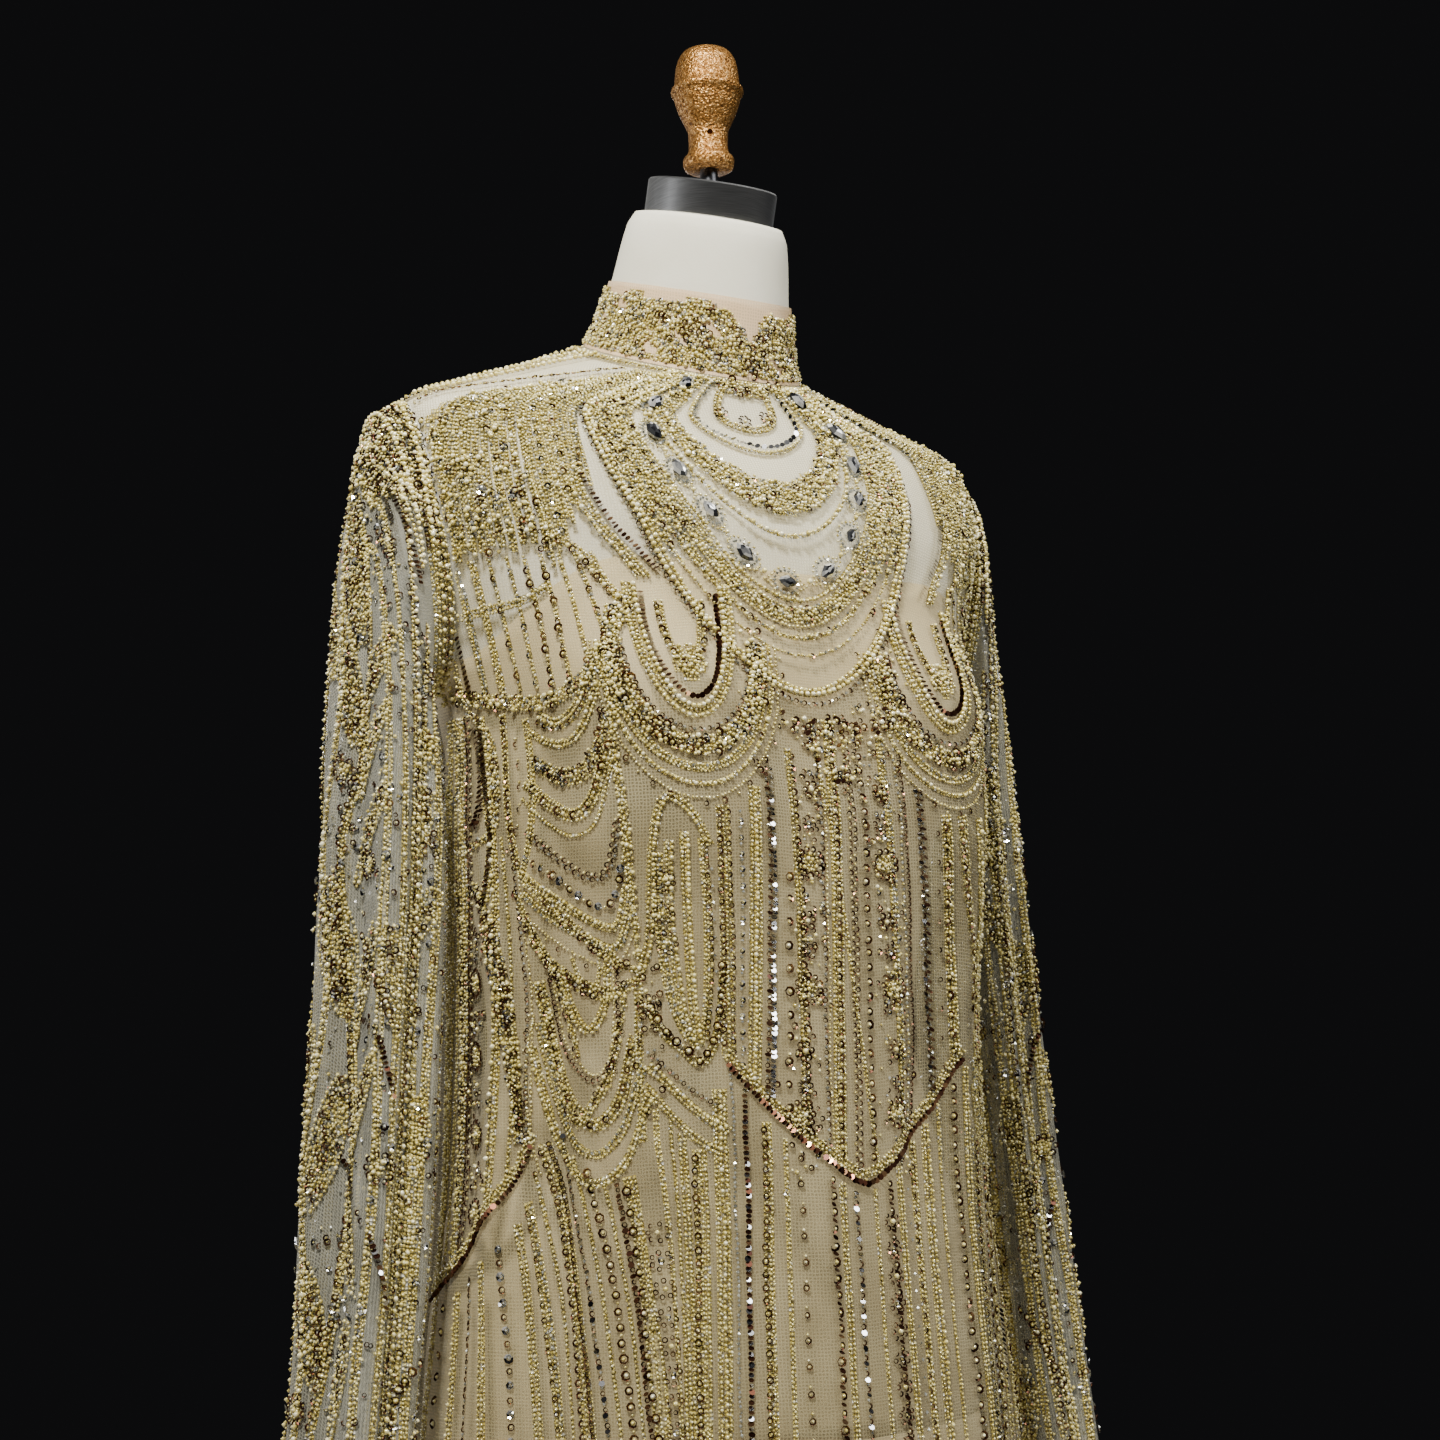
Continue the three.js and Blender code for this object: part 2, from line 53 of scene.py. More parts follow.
# %% [markdown]
# The camera stands a little below the bust, to the wearer's right, and looks slightly up, so the gown is
# seen from the finial to the hips. Its place is in metres, and its lens is a fairly long one.

# %% The camera
AIM = math.radians(-31)
CAMERA_AWAY = 1.287
CAMERA_UP = 1.0375
CAMERA_PITCH = math.radians(8.18)
CAMERA_ROLL = math.radians(-1.27)
LENS, SIDE_SHIFT = 59.3, 0.0159


def add_object(name, data):
    """Puts a mesh, a lamp or a camera in the scene."""
    obj = bpy.data.objects.new(name, data)
    bpy.context.scene.collection.objects.link(obj)
    return obj


camera = add_object("camera", bpy.data.cameras.new("camera"))
bpy.context.scene.camera = camera
camera.data.lens = LENS
camera.data.sensor_width = 36
camera.data.shift_x = SIDE_SHIFT
camera.data.clip_start = 0.05
camera.location = (CAMERA_AWAY * math.sin(AIM), -CAMERA_AWAY * math.cos(AIM), CAMERA_UP)
look = Vector((
    -math.sin(AIM) * math.cos(CAMERA_PITCH),
    math.cos(AIM) * math.cos(CAMERA_PITCH),
    math.sin(CAMERA_PITCH),
))
facing = look.to_track_quat("-Z", "Y").to_matrix() @ Matrix.Rotation(CAMERA_ROLL, 3, "Z")
camera.rotation_euler = facing.to_euler()
print("camera at", [round(x, 3) for x in camera.location])

# %% [markdown]
# Pearls and sequins show nothing but the lights, so the studio is dark, with a few soft lamps: a small key
# lamp up on the left that throws the beads' shadows, a broad fill on the right, and three at the side and
# behind that draw the edges.

# %% Lamps, world and floor
LAMPS_LOOK_AT = Vector((0, 0, 1.1))


def lamp(name, turn, up, away, size, power, colour=(1, 1, 1)):
    """A square soft lamp that looks at the gown's chest from a bearing, in degrees, and a height."""
    data = bpy.data.lights.new(name, "AREA")
    data.size = size
    data.energy = power
    data.color = colour
    obj = add_object(name, data)
    bearing = math.radians(turn)
    obj.location = (away * math.sin(bearing), -away * math.cos(bearing), up)
    obj.rotation_euler = (LAMPS_LOOK_AT - obj.location).to_track_quat("-Z", "Y").to_euler()


lamp("key", -45, 2.45, 1.1, 0.24, 60, (1, 0.97, 0.9))
lamp("fill", 34, 2.5, 1.5, 1.0, 35, (1, 0.99, 0.96))
lamp("side", -115, 1.4, 2.4, 0.8, 9)
lamp("back_left", 150, 1.9, 2.4, 0.8, 16)
lamp("back_right", -155, 1.7, 2.5, 0.8, 14)

NEARLY_BLACK = (0.006, 0.006, 0.0065, 1)
world = bpy.data.worlds.new("studio")
bpy.context.scene.world = world
world.use_nodes = True
world.node_tree.nodes["Background"].inputs["Color"].default_value = NEARLY_BLACK

FLOOR_RADIUS = 3
bpy.ops.mesh.primitive_circle_add(vertices=96, radius=FLOOR_RADIUS, fill_type="NGON")
floor = bpy.context.object
floor.name = "floor"

# %% [markdown]
# Every finish below is a small tree of nodes. A few helpers keep them short: one turns a colour from the
# hex value that a colour chart gives into Blender's linear light, one adds a node with its settings, and one
# gives a finished piece its material and puts it in the place of the imported node that it stands for.

# %% Helpers for materials
def linear(hex_colour):
    """An sRGB hex colour as linear red, green, blue, alpha."""
    parts = [int(hex_colour[i : i + 2], 16) / 255 for i in (1, 3, 5)]
    return tuple(c / 12.92 if c <= 0.04045 else ((c + 0.055) / 1.055) ** 2.4 for c in parts) + (1,)


def add_node(tree, kind, inputs=None, **settings):
    """Adds a node. Inputs are numbers, colours or other nodes' outputs, by socket name or number."""
    node = tree.nodes.new("ShaderNode" + kind)
    for key, value in settings.items():
        setattr(node, key, value)
    for key, value in (inputs or {}).items():
        socket = node.inputs[key]
        if isinstance(value, bpy.types.NodeSocket):
            tree.links.new(value, socket)
        else:
            socket.default_value = value
    return node


def ramp(tree, factor, *stops):
    """A colour ramp: each stop is (place, hex colour or grey level)."""
    node = add_node(tree, "ValToRGB", {0: factor})
    elements = node.color_ramp.elements
    while len(elements) < len(stops):
        elements.new(0.5)
    for element, (place, colour) in zip(elements, stops):
        element.position = place
        element.color = linear(colour) if isinstance(colour, str) else (colour, colour, colour, 1)
    return node.outputs["Color"]


def new_material(name, **values):
    """A material with a Principled shader, and its sockets set by name."""
    material = bpy.data.materials.new(name)
    material.use_nodes = True
    shader = material.node_tree.nodes["Principled BSDF"]
    for key, value in values.items():
        shader.inputs[key.replace("_", " ")].default_value = value
    return material, material.node_tree, shader


def feed(shader, **sockets):
    """Links patterns to sockets of the shader, by name."""
    for key, value in sockets.items():
        shader.id_data.links.new(value, shader.inputs[key.replace("_", " ")])


def finish(obj, material, node=None, smooth=True):
    """Gives a piece its material. It rides with the form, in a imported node's place."""
    obj.data.materials.clear()
    obj.data.materials.append(material)
    if smooth:
        obj.data.shade_smooth()
    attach(obj, "root")
    if node:
        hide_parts(node)


print("linear mid grey:", round(linear("#808080")[0], 3))

# %% [markdown]
# The floor is a matt pale board. It shows in the views of the whole gown only.

# %% Floor finish
pale_board, tree, shader = new_material("pale_painted_board", Roughness=0.8)
place = add_node(tree, "TexCoord").outputs["Object"]
grain = add_node(tree, "TexNoise", {"Vector": place, "Scale": 6.0, "Detail": 6.0}).outputs["Fac"]
feed(shader, Base_Color=ramp(tree, grain, (0.35, "#B9B6B0"), (0.7, "#C6C3BC")))
floor.data.materials.append(pale_board)
print("floor:", pale_board.name)

# %% [markdown]
# The form, the slip and the net are all drawn by a pattern maker's sections: at each height an ellipse
# with its own half width, front and back depths, and a tilt that lets the neck lean forward. Between the
# rows a smooth curve runs through the numbers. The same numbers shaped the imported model, so whatever is
# built from them here fits it. They are in millimetres.

# %% The sections
def table(names, rows):
    """Named columns from a short table. The first column is where each row is."""
    columns = np.array(rows, float).T
    return dict(zip(names.split(), columns), at=columns[0])


FORM = table("z wide front back middle tilt", [
    (770, 138, 88, 104, 0, 0), (850, 156, 100, 118, 0, 0), (930, 150, 98, 109, 0, 0),
    (1000, 132, 90, 90, 0, 0), (1050, 121, 86, 80, 0, 0), (1110, 127, 93, 86, 0, 0),
    (1170, 137, 103, 96, 0, 0), (1215, 145, 110, 102, 0, 0), (1300, 166, 106, 104, 0, 0),
    (1335, 175, 95, 98, 0, 0.03), (1358, 177, 84, 90, 0, 0.08), (1374, 175, 75, 82, 0, 0.14),
    (1383, 167, 71, 77, 0, 0.19), (1391, 147, 68, 73, 0, 0.24), (1400, 121, 65, 68, 0, 0.29),
    (1411, 89, 61, 62, -1, 0.35), (1422, 60, 57, 56, -2, 0.42), (1440, 53, 52, 51, -7, 0.39),
    (1460, 49.5, 49, 48, -13, 0.35), (1492, 44.5, 44, 43, -22, 0.32), (1499, 41, 40.5, 39.5, -24, 0.32),
])
HANG = table("z wide front back", [
    (25, 268, 238, 246), (350, 228, 198, 208), (700, 180, 154, 162), (850, 162, 142, 142),
    (1000, 148, 133, 124), (1110, 146, 127, 114), (1180, 147, 121, 108),
])
SLIP_SKIRT = table("z wide front back", [
    (62, 220, 176, 190), (350, 196, 146, 162), (700, 168, 110, 130), (850, 156, 100, 118),
])
HEM, SLIP_HEM, HIP_SEAM, NECK_SEAM, COLLAR_TOP = 25, 62, 850, 1422, 1460
QUARTER = math.pi / 2
BUST_HEIGHT, BUST_TURN, BUST_WIDE, BUST_OUT = 1213, 0.6, 0.36, 24
BUST_ABOVE, BUST_BELOW, NET_BELOW = 46.0, 54.0, 130.0
NET_EASE, SLIP_EASE, WALL = 0.9, 0.8, 1.2
NET_MIDDLE = NET_EASE + WALL / 2


def column(rows, key, at):
    """One column of a table at some heights, by a curve that never overshoots its rows."""
    x, value = rows["at"], rows[key]
    step = np.diff(x)
    slope = np.diff(value) / step
    before, after = slope[:-1], slope[1:]
    agree = before * after > 0
    inner = np.where(agree, 2 * before * after / np.where(agree, before + after, 1), 0)
    tangent = np.concatenate([slope[:1], inner, slope[-1:]])
    at = np.clip(at, x[0], x[-1])
    i = np.clip(np.searchsorted(x, at, side="right") - 1, 0, len(x) - 2)
    t = (at - x[i]) / step[i]
    low_end = value[i] * (1 + 2 * t) * (1 - t) ** 2 + tangent[i] * step[i] * t * (1 - t) ** 2
    high_end = value[i + 1] * t * t * (3 - 2 * t) + tangent[i + 1] * step[i] * t * t * (t - 1)
    return low_end + high_end


def smooth(low, high, x):
    """Zero below low and one above high, with a soft step between."""
    t = np.clip((x - low) / (high - low), 0, 1)
    return t * t * (3 - 2 * t)


def bump(x, wide):
    """A soft hump, one high at zero."""
    return np.exp(-((x / wide) ** 2))


def wrap(turn):
    """The same turn, from minus half a circle to half a circle."""
    return np.arctan2(np.sin(turn), np.cos(turn))


def bust(turn, z, low):
    """How far the bust stands out. Low is how slowly the shape dies away below it."""
    turn = wrap(turn)
    rise = bump(z - BUST_HEIGHT, np.where(z > BUST_HEIGHT, BUST_ABOVE, low))
    return BUST_OUT * rise * (bump(turn - BUST_TURN, BUST_WIDE) + bump(turn + BUST_TURN, BUST_WIDE))


def on_section(section, turn, z, out):
    """The point of an elliptical section. The turn is 0 at centre front, and +X is the wearer's left."""
    depth = np.where(np.cos(turn) > 0, section["front"], section["back"])
    x = section["wide"] * np.sin(turn)
    y = -depth * np.cos(turn)
    grow = 1 + out / np.hypot(x, y)
    return np.stack([x * grow, section["middle"] + y * grow, z + section["tilt"] * y * grow], -1)


def form_section(z):
    return {key: column(FORM, key, z) for key in ("wide", "front", "back", "middle", "tilt")}


print("round the bust:", round(2 * math.pi * math.hypot(145, 106) / math.sqrt(2)), "mm")

# %% [markdown]
# Now the three skins. The form is bare section and bust. The slip follows it to the hips and then flares.
# The net rests on the shoulders, falls slowly from the bust and hangs clear in eight soft folds. Real net
# is never even, so listed creases are added: each has a place, a lean, an upper and a lower end,
# a depth in millimetres (a trough is negative) and a width.

# %% The skins
CREASES = table("turn lean top low deep wide", [
    (-1.28, 0.25, 1130, 560, 6.0, 0.09), (-1.02, 0.35, 1100, 700, -4.5, 0.06),
    (-0.66, 0.10, 1065, 420, 4.0, 0.05), (-0.36, -0.05, 980, 330, -5.0, 0.07),
    (-0.12, 0.04, 1010, 520, 3.5, 0.05), (0.27, 0.02, 1040, 380, -4.5, 0.06),
    (0.55, -0.12, 1120, 600, 5.0, 0.07), (0.93, -0.30, 1090, 640, -4.0, 0.05),
    (1.30, -0.20, 1140, 500, 6.0, 0.10), (1.86, 0.12, 1060, 480, -5.0, 0.08),
    (2.35, 0.06, 1120, 610, 5.5, 0.09), (2.86, -0.08, 1010, 350, -5.5, 0.07),
    (-1.80, -0.15, 1090, 420, -5.0, 0.08), (-2.22, 0.10, 1130, 560, 5.0, 0.07),
    (-2.70, 0.05, 1030, 460, 4.5, 0.10), (-3.02, -0.04, 980, 300, -4.0, 0.06),
    (-1.05, 0.90, 1165, 1085, 2.4, 0.05), (-0.85, 0.80, 1120, 1035, -2.0, 0.05),
    (1.02, -0.85, 1160, 1080, 2.2, 0.05), (0.80, -0.70, 1105, 1030, -2.0, 0.05),
])
CREASE_ROWS = [dict(zip(CREASES, row)) for row in zip(*CREASES.values())]


def matched(*values):
    """Numbers and lists of numbers as arrays of one shape."""
    return np.broadcast_arrays(*(np.asarray(value, float) for value in values))


def form_skin(turn, z):
    turn, z = matched(turn, z)
    return on_section(form_section(z), turn, z, bust(turn, z, BUST_BELOW))


def slip_skin(turn, z):
    turn, z = matched(turn, z)
    section = form_section(z)
    for key in ("wide", "front", "back"):
        section[key] = np.where(z < HIP_SEAM, column(SLIP_SKIRT, key, z), section[key])
    return on_section(section, turn, z, bust(turn, z, BUST_BELOW))


def folds(turn, z):
    """How far the eight folds stand out, growing towards the hem."""
    uneven = 0.75 + 0.35 * np.sin(3 * turn + 0.8)
    return 15 * (1 - smooth(HEM, 900, z)) * uneven * np.cos(8 * turn + 0.5 * np.sin(2 * turn))


def creases(turn, z):
    """How far the listed creases stand out."""
    total = np.zeros(np.broadcast(turn, z).shape)
    for row in CREASE_ROWS:
        middle = row["turn"] + row["lean"] * (row["top"] - z) / 1000
        ends = smooth(row["low"] - 60, row["low"] + 90, z) * (1 - smooth(row["top"] - 50, row["top"] + 20, z))
        total = total + row["deep"] * ends * bump(wrap(turn - middle), row["wide"])
    return total


def net_skin(turn, z):
    turn, z = matched(turn, z)
    section = form_section(z)
    hangs = 1 - smooth(1150, 1262, z)
    for key in ("wide", "front", "back"):
        section[key] = section[key] + hangs * np.maximum(0, column(HANG, key, z) - section[key])
    clear_of_slip = 2.2 * (1 - smooth(1325, 1360, z))
    out = bust(turn, z, np.where(z < BUST_HEIGHT, NET_BELOW, BUST_ABOVE)) + clear_of_slip
    return on_section(section, turn, z, out + folds(turn, z) + creases(turn, z))


def across(skin, u, v, du, dv):
    """The unit normal of a skin, from its slopes."""
    along_u = skin(u + du, v) - skin(u - du, v)
    along_v = skin(u, v + dv) - skin(u, v - dv)
    normal = np.cross(along_u, along_v)
    return normal / np.linalg.norm(normal, axis=-1, keepdims=True)


print("net hem is", round(float(np.ptp(net_skin(np.linspace(0, 6.3, 200), HEM)[:, 0]))), "mm wide")

# %% [markdown]
# A sleeve is a tube of rings. Each ring is given by its outermost and innermost points, seen from the
# front, its half depth and the middle of that depth; five long folds run down it. The first ring is the
# armhole, an oval cut in the side of the net.

# %% The sleeves
ARMHOLE_Y, ARMHOLE_Z, ARMHOLE_DEEP, ARMHOLE_HIGH = 4, 1305, 35, 76
SLEEVE_RIGHT = table("row out_x out_z in_x in_z deep y fold", [
    (0, 189, 1372, 164, 1221, 37, 3, 0), (1, 197, 1345, 165, 1206, 39, 2, 0.03),
    (2, 204, 1300, 163, 1188, 41, 0, 0.06), (3, 211, 1228, 160, 1160, 43, -2, 0.1),
    (4, 217, 1145, 159, 1118, 44, -3, 0.12), (5, 221, 1060, 163, 1045, 44, -4, 0.13),
    (6, 228, 965, 169, 955, 45, -4, 0.13), (7, 236, 868, 179, 862, 47, -4, 0.12),
    (8, 243, 770, 189, 767, 50, -3, 0.1),
])
SLEEVE_LEFT = table("row out_x out_z in_x in_z deep y fold", [
    (0, 184, 1371, 164, 1221, 37, 3, 0), (1, 188, 1345, 164, 1206, 39, 3, 0.03),
    (2, 192, 1300, 162, 1188, 41, 4, 0.06), (3, 198, 1228, 160, 1160, 43, 5, 0.1),
    (4, 208, 1145, 158, 1118, 44, 5, 0.12), (5, 217, 1055, 162, 1040, 44, 5, 0.13),
    (6, 227, 960, 170, 950, 45, 4, 0.13), (7, 236, 868, 179, 860, 47, 3, 0.12),
    (8, 246, 770, 191, 765, 50, 2, 0.1),
])
CUFF = 8
SLEEVE_CREASES = [
    # turn, lean, from row, to row, depth (mm), width
    (1.9, 0.05, 1.0, 7.6, -4.5, 0.16), (2.6, -0.03, 2.2, 7.9, 3.6, 0.14), (1.2, 0.04, 1.6, 6.4, 4.0, 0.15),
    (3.5, 0.02, 1.8, 7.2, -3.8, 0.18), (0.3, -0.04, 2.4, 7.7, -3.6, 0.17), (4.4, 0.03, 2.0, 6.8, 3.0, 0.2),
    (5.5, -0.02, 2.6, 7.8, -3.2, 0.18), (2.2, 0.30, 2.6, 3.6, 2.6, 0.12), (1.5, -0.25, 3.2, 4.3, -2.4, 0.12),
]


def side_turn(side, y, z):
    """The turn at which the net's side is at a given y, at the height z, by halving."""
    front, back = np.full(np.shape(z), 0.02), np.full(np.shape(z), math.pi - 0.02)
    for _ in range(26):
        middle = (front + back) / 2
        before = net_skin(side * middle, z)[..., 1] < y
        front, back = np.where(before, middle, front), np.where(before, back, middle)
    return side * (front + back) / 2


def armhole_ring(side, turn):
    """Points of the armhole's seam, on the net, and where the sleeve starts."""
    y = ARMHOLE_Y + ARMHOLE_DEEP * np.cos(turn)
    z = ARMHOLE_Z + ARMHOLE_HIGH * np.sin(turn)
    height = z.copy()
    for _ in range(8):
        point = net_skin(side_turn(side, y, height), height)
        height = height + z - point[..., 2]
    return point + np.array([side * (NET_EASE + WALL), 0, 0])


RING_TURNS = np.linspace(0, 2 * math.pi, 145)
ARMHOLE_RING = {side: armhole_ring(side, RING_TURNS) for side in (-1, 1)}


def sleeve_skin(side, rows):
    """The skin of one sleeve: a function of the turn round it and the row down it, -1 at the armhole."""
    def skin(turn, row):
        turn, row = matched(turn, row)
        get = {key: column(rows, key, np.maximum(row, 0)) for key in rows}
        folded = 1 + get["fold"] * (np.cos(5 * turn + side) - 1)
        for where, lean, first, last, deep, wide in SLEEVE_CREASES:
            ends = smooth(first - 0.4, first + 0.6, row) * (1 - smooth(last - 0.5, last + 0.3, row))
            crease = bump(wrap(turn - where - lean * (row - first)), wide)
            folded = folded + deep / get["deep"] * ends * crease
        x = (get["out_x"] + get["in_x"]) / 2 + (get["out_x"] - get["in_x"]) / 2 * np.sin(turn) * folded
        z = (get["out_z"] + get["in_z"]) / 2 + (get["out_z"] - get["in_z"]) / 2 * np.sin(turn) * folded
        ring = np.stack([side * x, get["y"] + get["deep"] * np.cos(turn) * folded, z], -1)
        around = np.mod(turn, 2 * math.pi)
        start = np.stack([np.interp(around, RING_TURNS, ARMHOLE_RING[side][:, i]) for i in range(3)], -1)
        joined = np.clip(row + 1, 0, 1)[..., None]
        return start * (1 - joined) + ring * joined
    return skin


sleeve_right = sleeve_skin(-1, SLEEVE_RIGHT)
sleeve_left = sleeve_skin(1, SLEEVE_LEFT)
print("armhole round:", round(float(np.linalg.norm(np.diff(ARMHOLE_RING[1], axis=0), axis=1).sum())), "mm")

# %% [markdown]
# A sheet of cloth is a grid of points on its skin, with its own map: u runs across the cloth and v along
# it, in metres of cloth, so a weave drawn on the map keeps its real size wherever the cloth turns.

# %% Making a sheet
JOINED = 0.00002


def sheet_mesh(name, points, closed=False):
    """A mesh from rows of points (mm), with a map in metres of cloth. Faces look along u cross v."""
    rows, wide = points.shape[:2]
    index = np.arange(rows * wide).reshape(rows, wide)
    faces = np.stack([index[:-1, :-1], index[:-1, 1:], index[1:, 1:], index[1:, :-1]], -1).reshape(-1, 4)
    steps_u = np.linalg.norm(np.diff(points, axis=1), axis=-1)
    u = np.concatenate([np.zeros((rows, 1)), np.cumsum(steps_u, axis=1)], axis=1)
    u = u - u[:, wide // 2 : wide // 2 + 1]
    steps_v = np.linalg.norm(np.diff(points, axis=0), axis=-1)
    v = np.concatenate([np.zeros((1, wide)), np.cumsum(steps_v, axis=0)], axis=0)
    mesh = bpy.data.meshes.new(name)
    mesh.from_pydata((points.reshape(-1, 3) * MM).tolist(), [], faces.tolist())
    cut = mesh.uv_layers.new(name="cut")
    corners = np.zeros(len(mesh.loops), int)
    mesh.loops.foreach_get("vertex_index", corners)
    place = np.stack([u.ravel(), v.ravel()], -1)[corners] * MM
    cut.data.foreach_set("uv", place.astype(np.float32).ravel())
    obj = add_object(name, mesh)
    if closed:  # its first and last columns lie together and are joined
        shape = bmesh.new()
        shape.from_mesh(mesh)
        bmesh.ops.remove_doubles(shape, verts=shape.verts, dist=JOINED)
        shape.to_mesh(mesh)
        shape.free()
    return obj


def lifted(skin, u, v, lift, du=0.002, dv=0.5):
    """A grid of points on a skin, moved off it by some millimetres."""
    return skin(u, v) + across(skin, u, v, du, dv) * lift


print("a sheet's map is in metres of cloth")

# %% [markdown]
# The slip is a fine nude jersey, cut straight across the back and higher over the bust, where two shallow
# cups rise. It lies close under the net and gives the gown its colour.

# %% The slip
SLIP_TOP_SIDE, SLIP_TOP_RISE, SLIP_CUP = 1243, 40, 5
JERSEY_THICK, SEAM_HALF, SEAM_TURN = 0.5, 0.15, 0.001  # a seam is left open by twice these


def slip_top(turn):
    """The height of the slip's upper edge."""
    across_body = np.abs(wrap(turn))
    rise = SLIP_TOP_RISE * (1 - smooth(0.58, 1.4, across_body))
    return SLIP_TOP_SIDE + rise + SLIP_CUP * bump(across_body - BUST_TURN, 0.3)


def slip_panel(name, first, low, high, rows):
    """A quarter of the slip, from one side seam to the other. With no height it ends at the slip's top."""
    turn = np.linspace(first + SEAM_TURN, first + math.pi - SEAM_TURN, 61)[None, :]
    high = high or slip_top(turn)
    z = low + np.linspace(0, 1, rows)[:, None] * (high - low) * np.ones_like(turn)
    obj = sheet_mesh(name, lifted(slip_skin, turn, z, SLIP_EASE + WALL / 2))
    solidify = obj.modifiers.new("jersey", "SOLIDIFY")
    solidify.thickness = JERSEY_THICK * MM
    solidify.offset = 0
    return obj


slip = {}
for part, first in (("front", -QUARTER), ("back", QUARTER)):
    slip[f"lining_body_{part}"] = slip_panel(f"slip_body_{part}", first, HIP_SEAM + SEAM_HALF, None, 46)
    slip[f"lining_skirt_{part}"] = slip_panel(f"slip_skirt_{part}", first, SLIP_HEM, HIP_SEAM - SEAM_HALF, 28)
print("slip:", sum(len(obj.data.polygons) for obj in slip.values()), "faces")

# %% [markdown]
# Jersey is knitted, so close up it shows fine ribs down the cloth and short stitches across them. The ribs
# are 1.2 mm apart here, a little coarser than real ones, so that they show. It is thin. Its colour carries
# painted shade: lighter on the chest and darker below the waist, for the light that falls off down the gown.

# %% Jersey
jersey, tree, shader = new_material("nude_knitted_jersey", Roughness=0.72, Sheen_Weight=0.15,
                                    Sheen_Roughness=0.5)
cloth_map = add_node(tree, "UVMap", uv_map="cut").outputs["UV"]
ONE_BAND = math.pi / 10  # a wave texture's scale for one band in each unit
ribs = add_node(tree, "TexWave", {
    "Vector": cloth_map, "Scale": ONE_BAND / 0.0012, "Distortion": 0.6, "Detail": 1.0,
}, bands_direction="X").outputs["Fac"]
stitches = add_node(tree, "TexWave", {
    "Vector": cloth_map, "Scale": ONE_BAND / 0.0015, "Distortion": 0.4,
}, bands_direction="Y").outputs["Fac"]
knit = add_node(tree, "Math", {0: ribs, 1: stitches}, operation="MULTIPLY").outputs[0]
cloudy = add_node(tree, "TexNoise", {"Vector": cloth_map, "Scale": 14.0, "Detail": 3.0}).outputs["Fac"]
body = ramp(tree, cloudy, (0.3, "#B5A377"), (0.7, "#C5B38A"))
yarn = ramp(tree, knit, (0.0, "#918052"), (0.6, "#D2C197"))
shade = add_node(tree, "MixRGB", {"Fac": 0.28, 1: body, 2: yarn})
place = add_node(tree, "TexCoord").outputs["Object"]
height = add_node(tree, "SeparateXYZ", {0: place}).outputs["Z"]
# painted shade: lighter on the chest and darker below the waist, for the light's fall-off down the gown
painted_light_falloff = add_node(tree, "MapRange", {0: height, 1: 1.0, 2: 1.25, 3: 0.84, 4: 1.12}).outputs[0]
shade = add_node(tree, "VectorMath", {0: shade.outputs[0], 1: painted_light_falloff}, operation="MULTIPLY")
relief = add_node(tree, "Bump", {"Height": knit, "Strength": 0.25, "Distance": 0.0003})
feed(shader, Base_Color=shade.outputs[0], Normal=relief.outputs[0])
for node, obj in slip.items():
    finish(obj, jersey, node)
print("in jersey:", ", ".join(slip))

# %% [markdown]
# The gown's net is cut in three: a front and two backs. Where the armhole is, the grid's points just
# inside the oval are drawn out to its edge, as scissors would leave it, and the rest is left out.

# %% The gown's net
def in_armhole(points, grow=0.0):
    """How far inside the armhole a point of the net is: below 1 is inside."""
    y = (points[..., 1] - ARMHOLE_Y) / (ARMHOLE_DEEP + grow)
    z = (points[..., 2] - ARMHOLE_Z) / (ARMHOLE_HIGH + grow)
    return np.where(np.abs(points[..., 0]) > 100, np.hypot(y, z), 9)


def net_panel(name, first, last, steps):
    """One cut piece of the gown, from its first side to its last."""
    turn = np.linspace(first + SEAM_TURN, last - SEAM_TURN, steps + 1)[None, :]
    z = np.concatenate([np.linspace(HEM, 780, 46), np.linspace(792, 1340, 84), np.linspace(1345, 1390, 12),
                        np.linspace(1392, NECK_SEAM - 0.2, 16)])[:, None]
    turn, z = (a.copy() for a in np.broadcast_arrays(turn, z))
    points = lifted(net_skin, turn, z, NET_MIDDLE)
    level = in_armhole(points)
    inside = level < 1
    padded = np.pad(inside, 1, mode="edge")
    rows, wide = inside.shape
    deep = np.ones_like(inside)
    for r in range(3):
        for c in range(3):
            deep &= padded[r : r + rows, c : c + wide]
    near = inside & ~deep
    scale = 1 / np.maximum(level[near], 0.05)
    y = ARMHOLE_Y + (points[near][:, 1] - ARMHOLE_Y) * scale
    height = ARMHOLE_Z + (points[near][:, 2] - ARMHOLE_Z) * scale
    side = np.sign(points[near][:, 0])
    at = height.copy()
    for _ in range(6):
        found = net_skin(side_turn(side, y, at), at)
        at = at + height - found[..., 2]
    points[near] = found + np.array([1, 0, 0]) * side[:, None] * NET_MIDDLE
    obj = sheet_mesh(name, points)
    shape = bmesh.new()
    shape.from_mesh(obj.data)
    shape.faces.ensure_lookup_table()
    hidden = inside.ravel()
    dead = [face for face in shape.faces if all(hidden[vert.index] for vert in face.verts)]
    bmesh.ops.delete(shape, geom=dead, context="FACES")
    shape.to_mesh(obj.data)
    shape.free()
    return obj


net = {
    "gown_front": net_panel("gown_front_net", -QUARTER, QUARTER, 88),
    "gown_back_left": net_panel("gown_back_left_net", QUARTER, 2 * QUARTER, 44),
    "gown_back_right": net_panel("gown_back_right_net", -2 * QUARTER, -QUARTER, 44),
}
print("gown net:", {node: len(obj.data.polygons) for node, obj in net.items()}, "faces")

# %% [markdown]
# The sleeves and the collar are made the same way, on their own skins. The collar is open at the nape.

# %% Sleeves and collar
SLEEVE_ROUND = 72


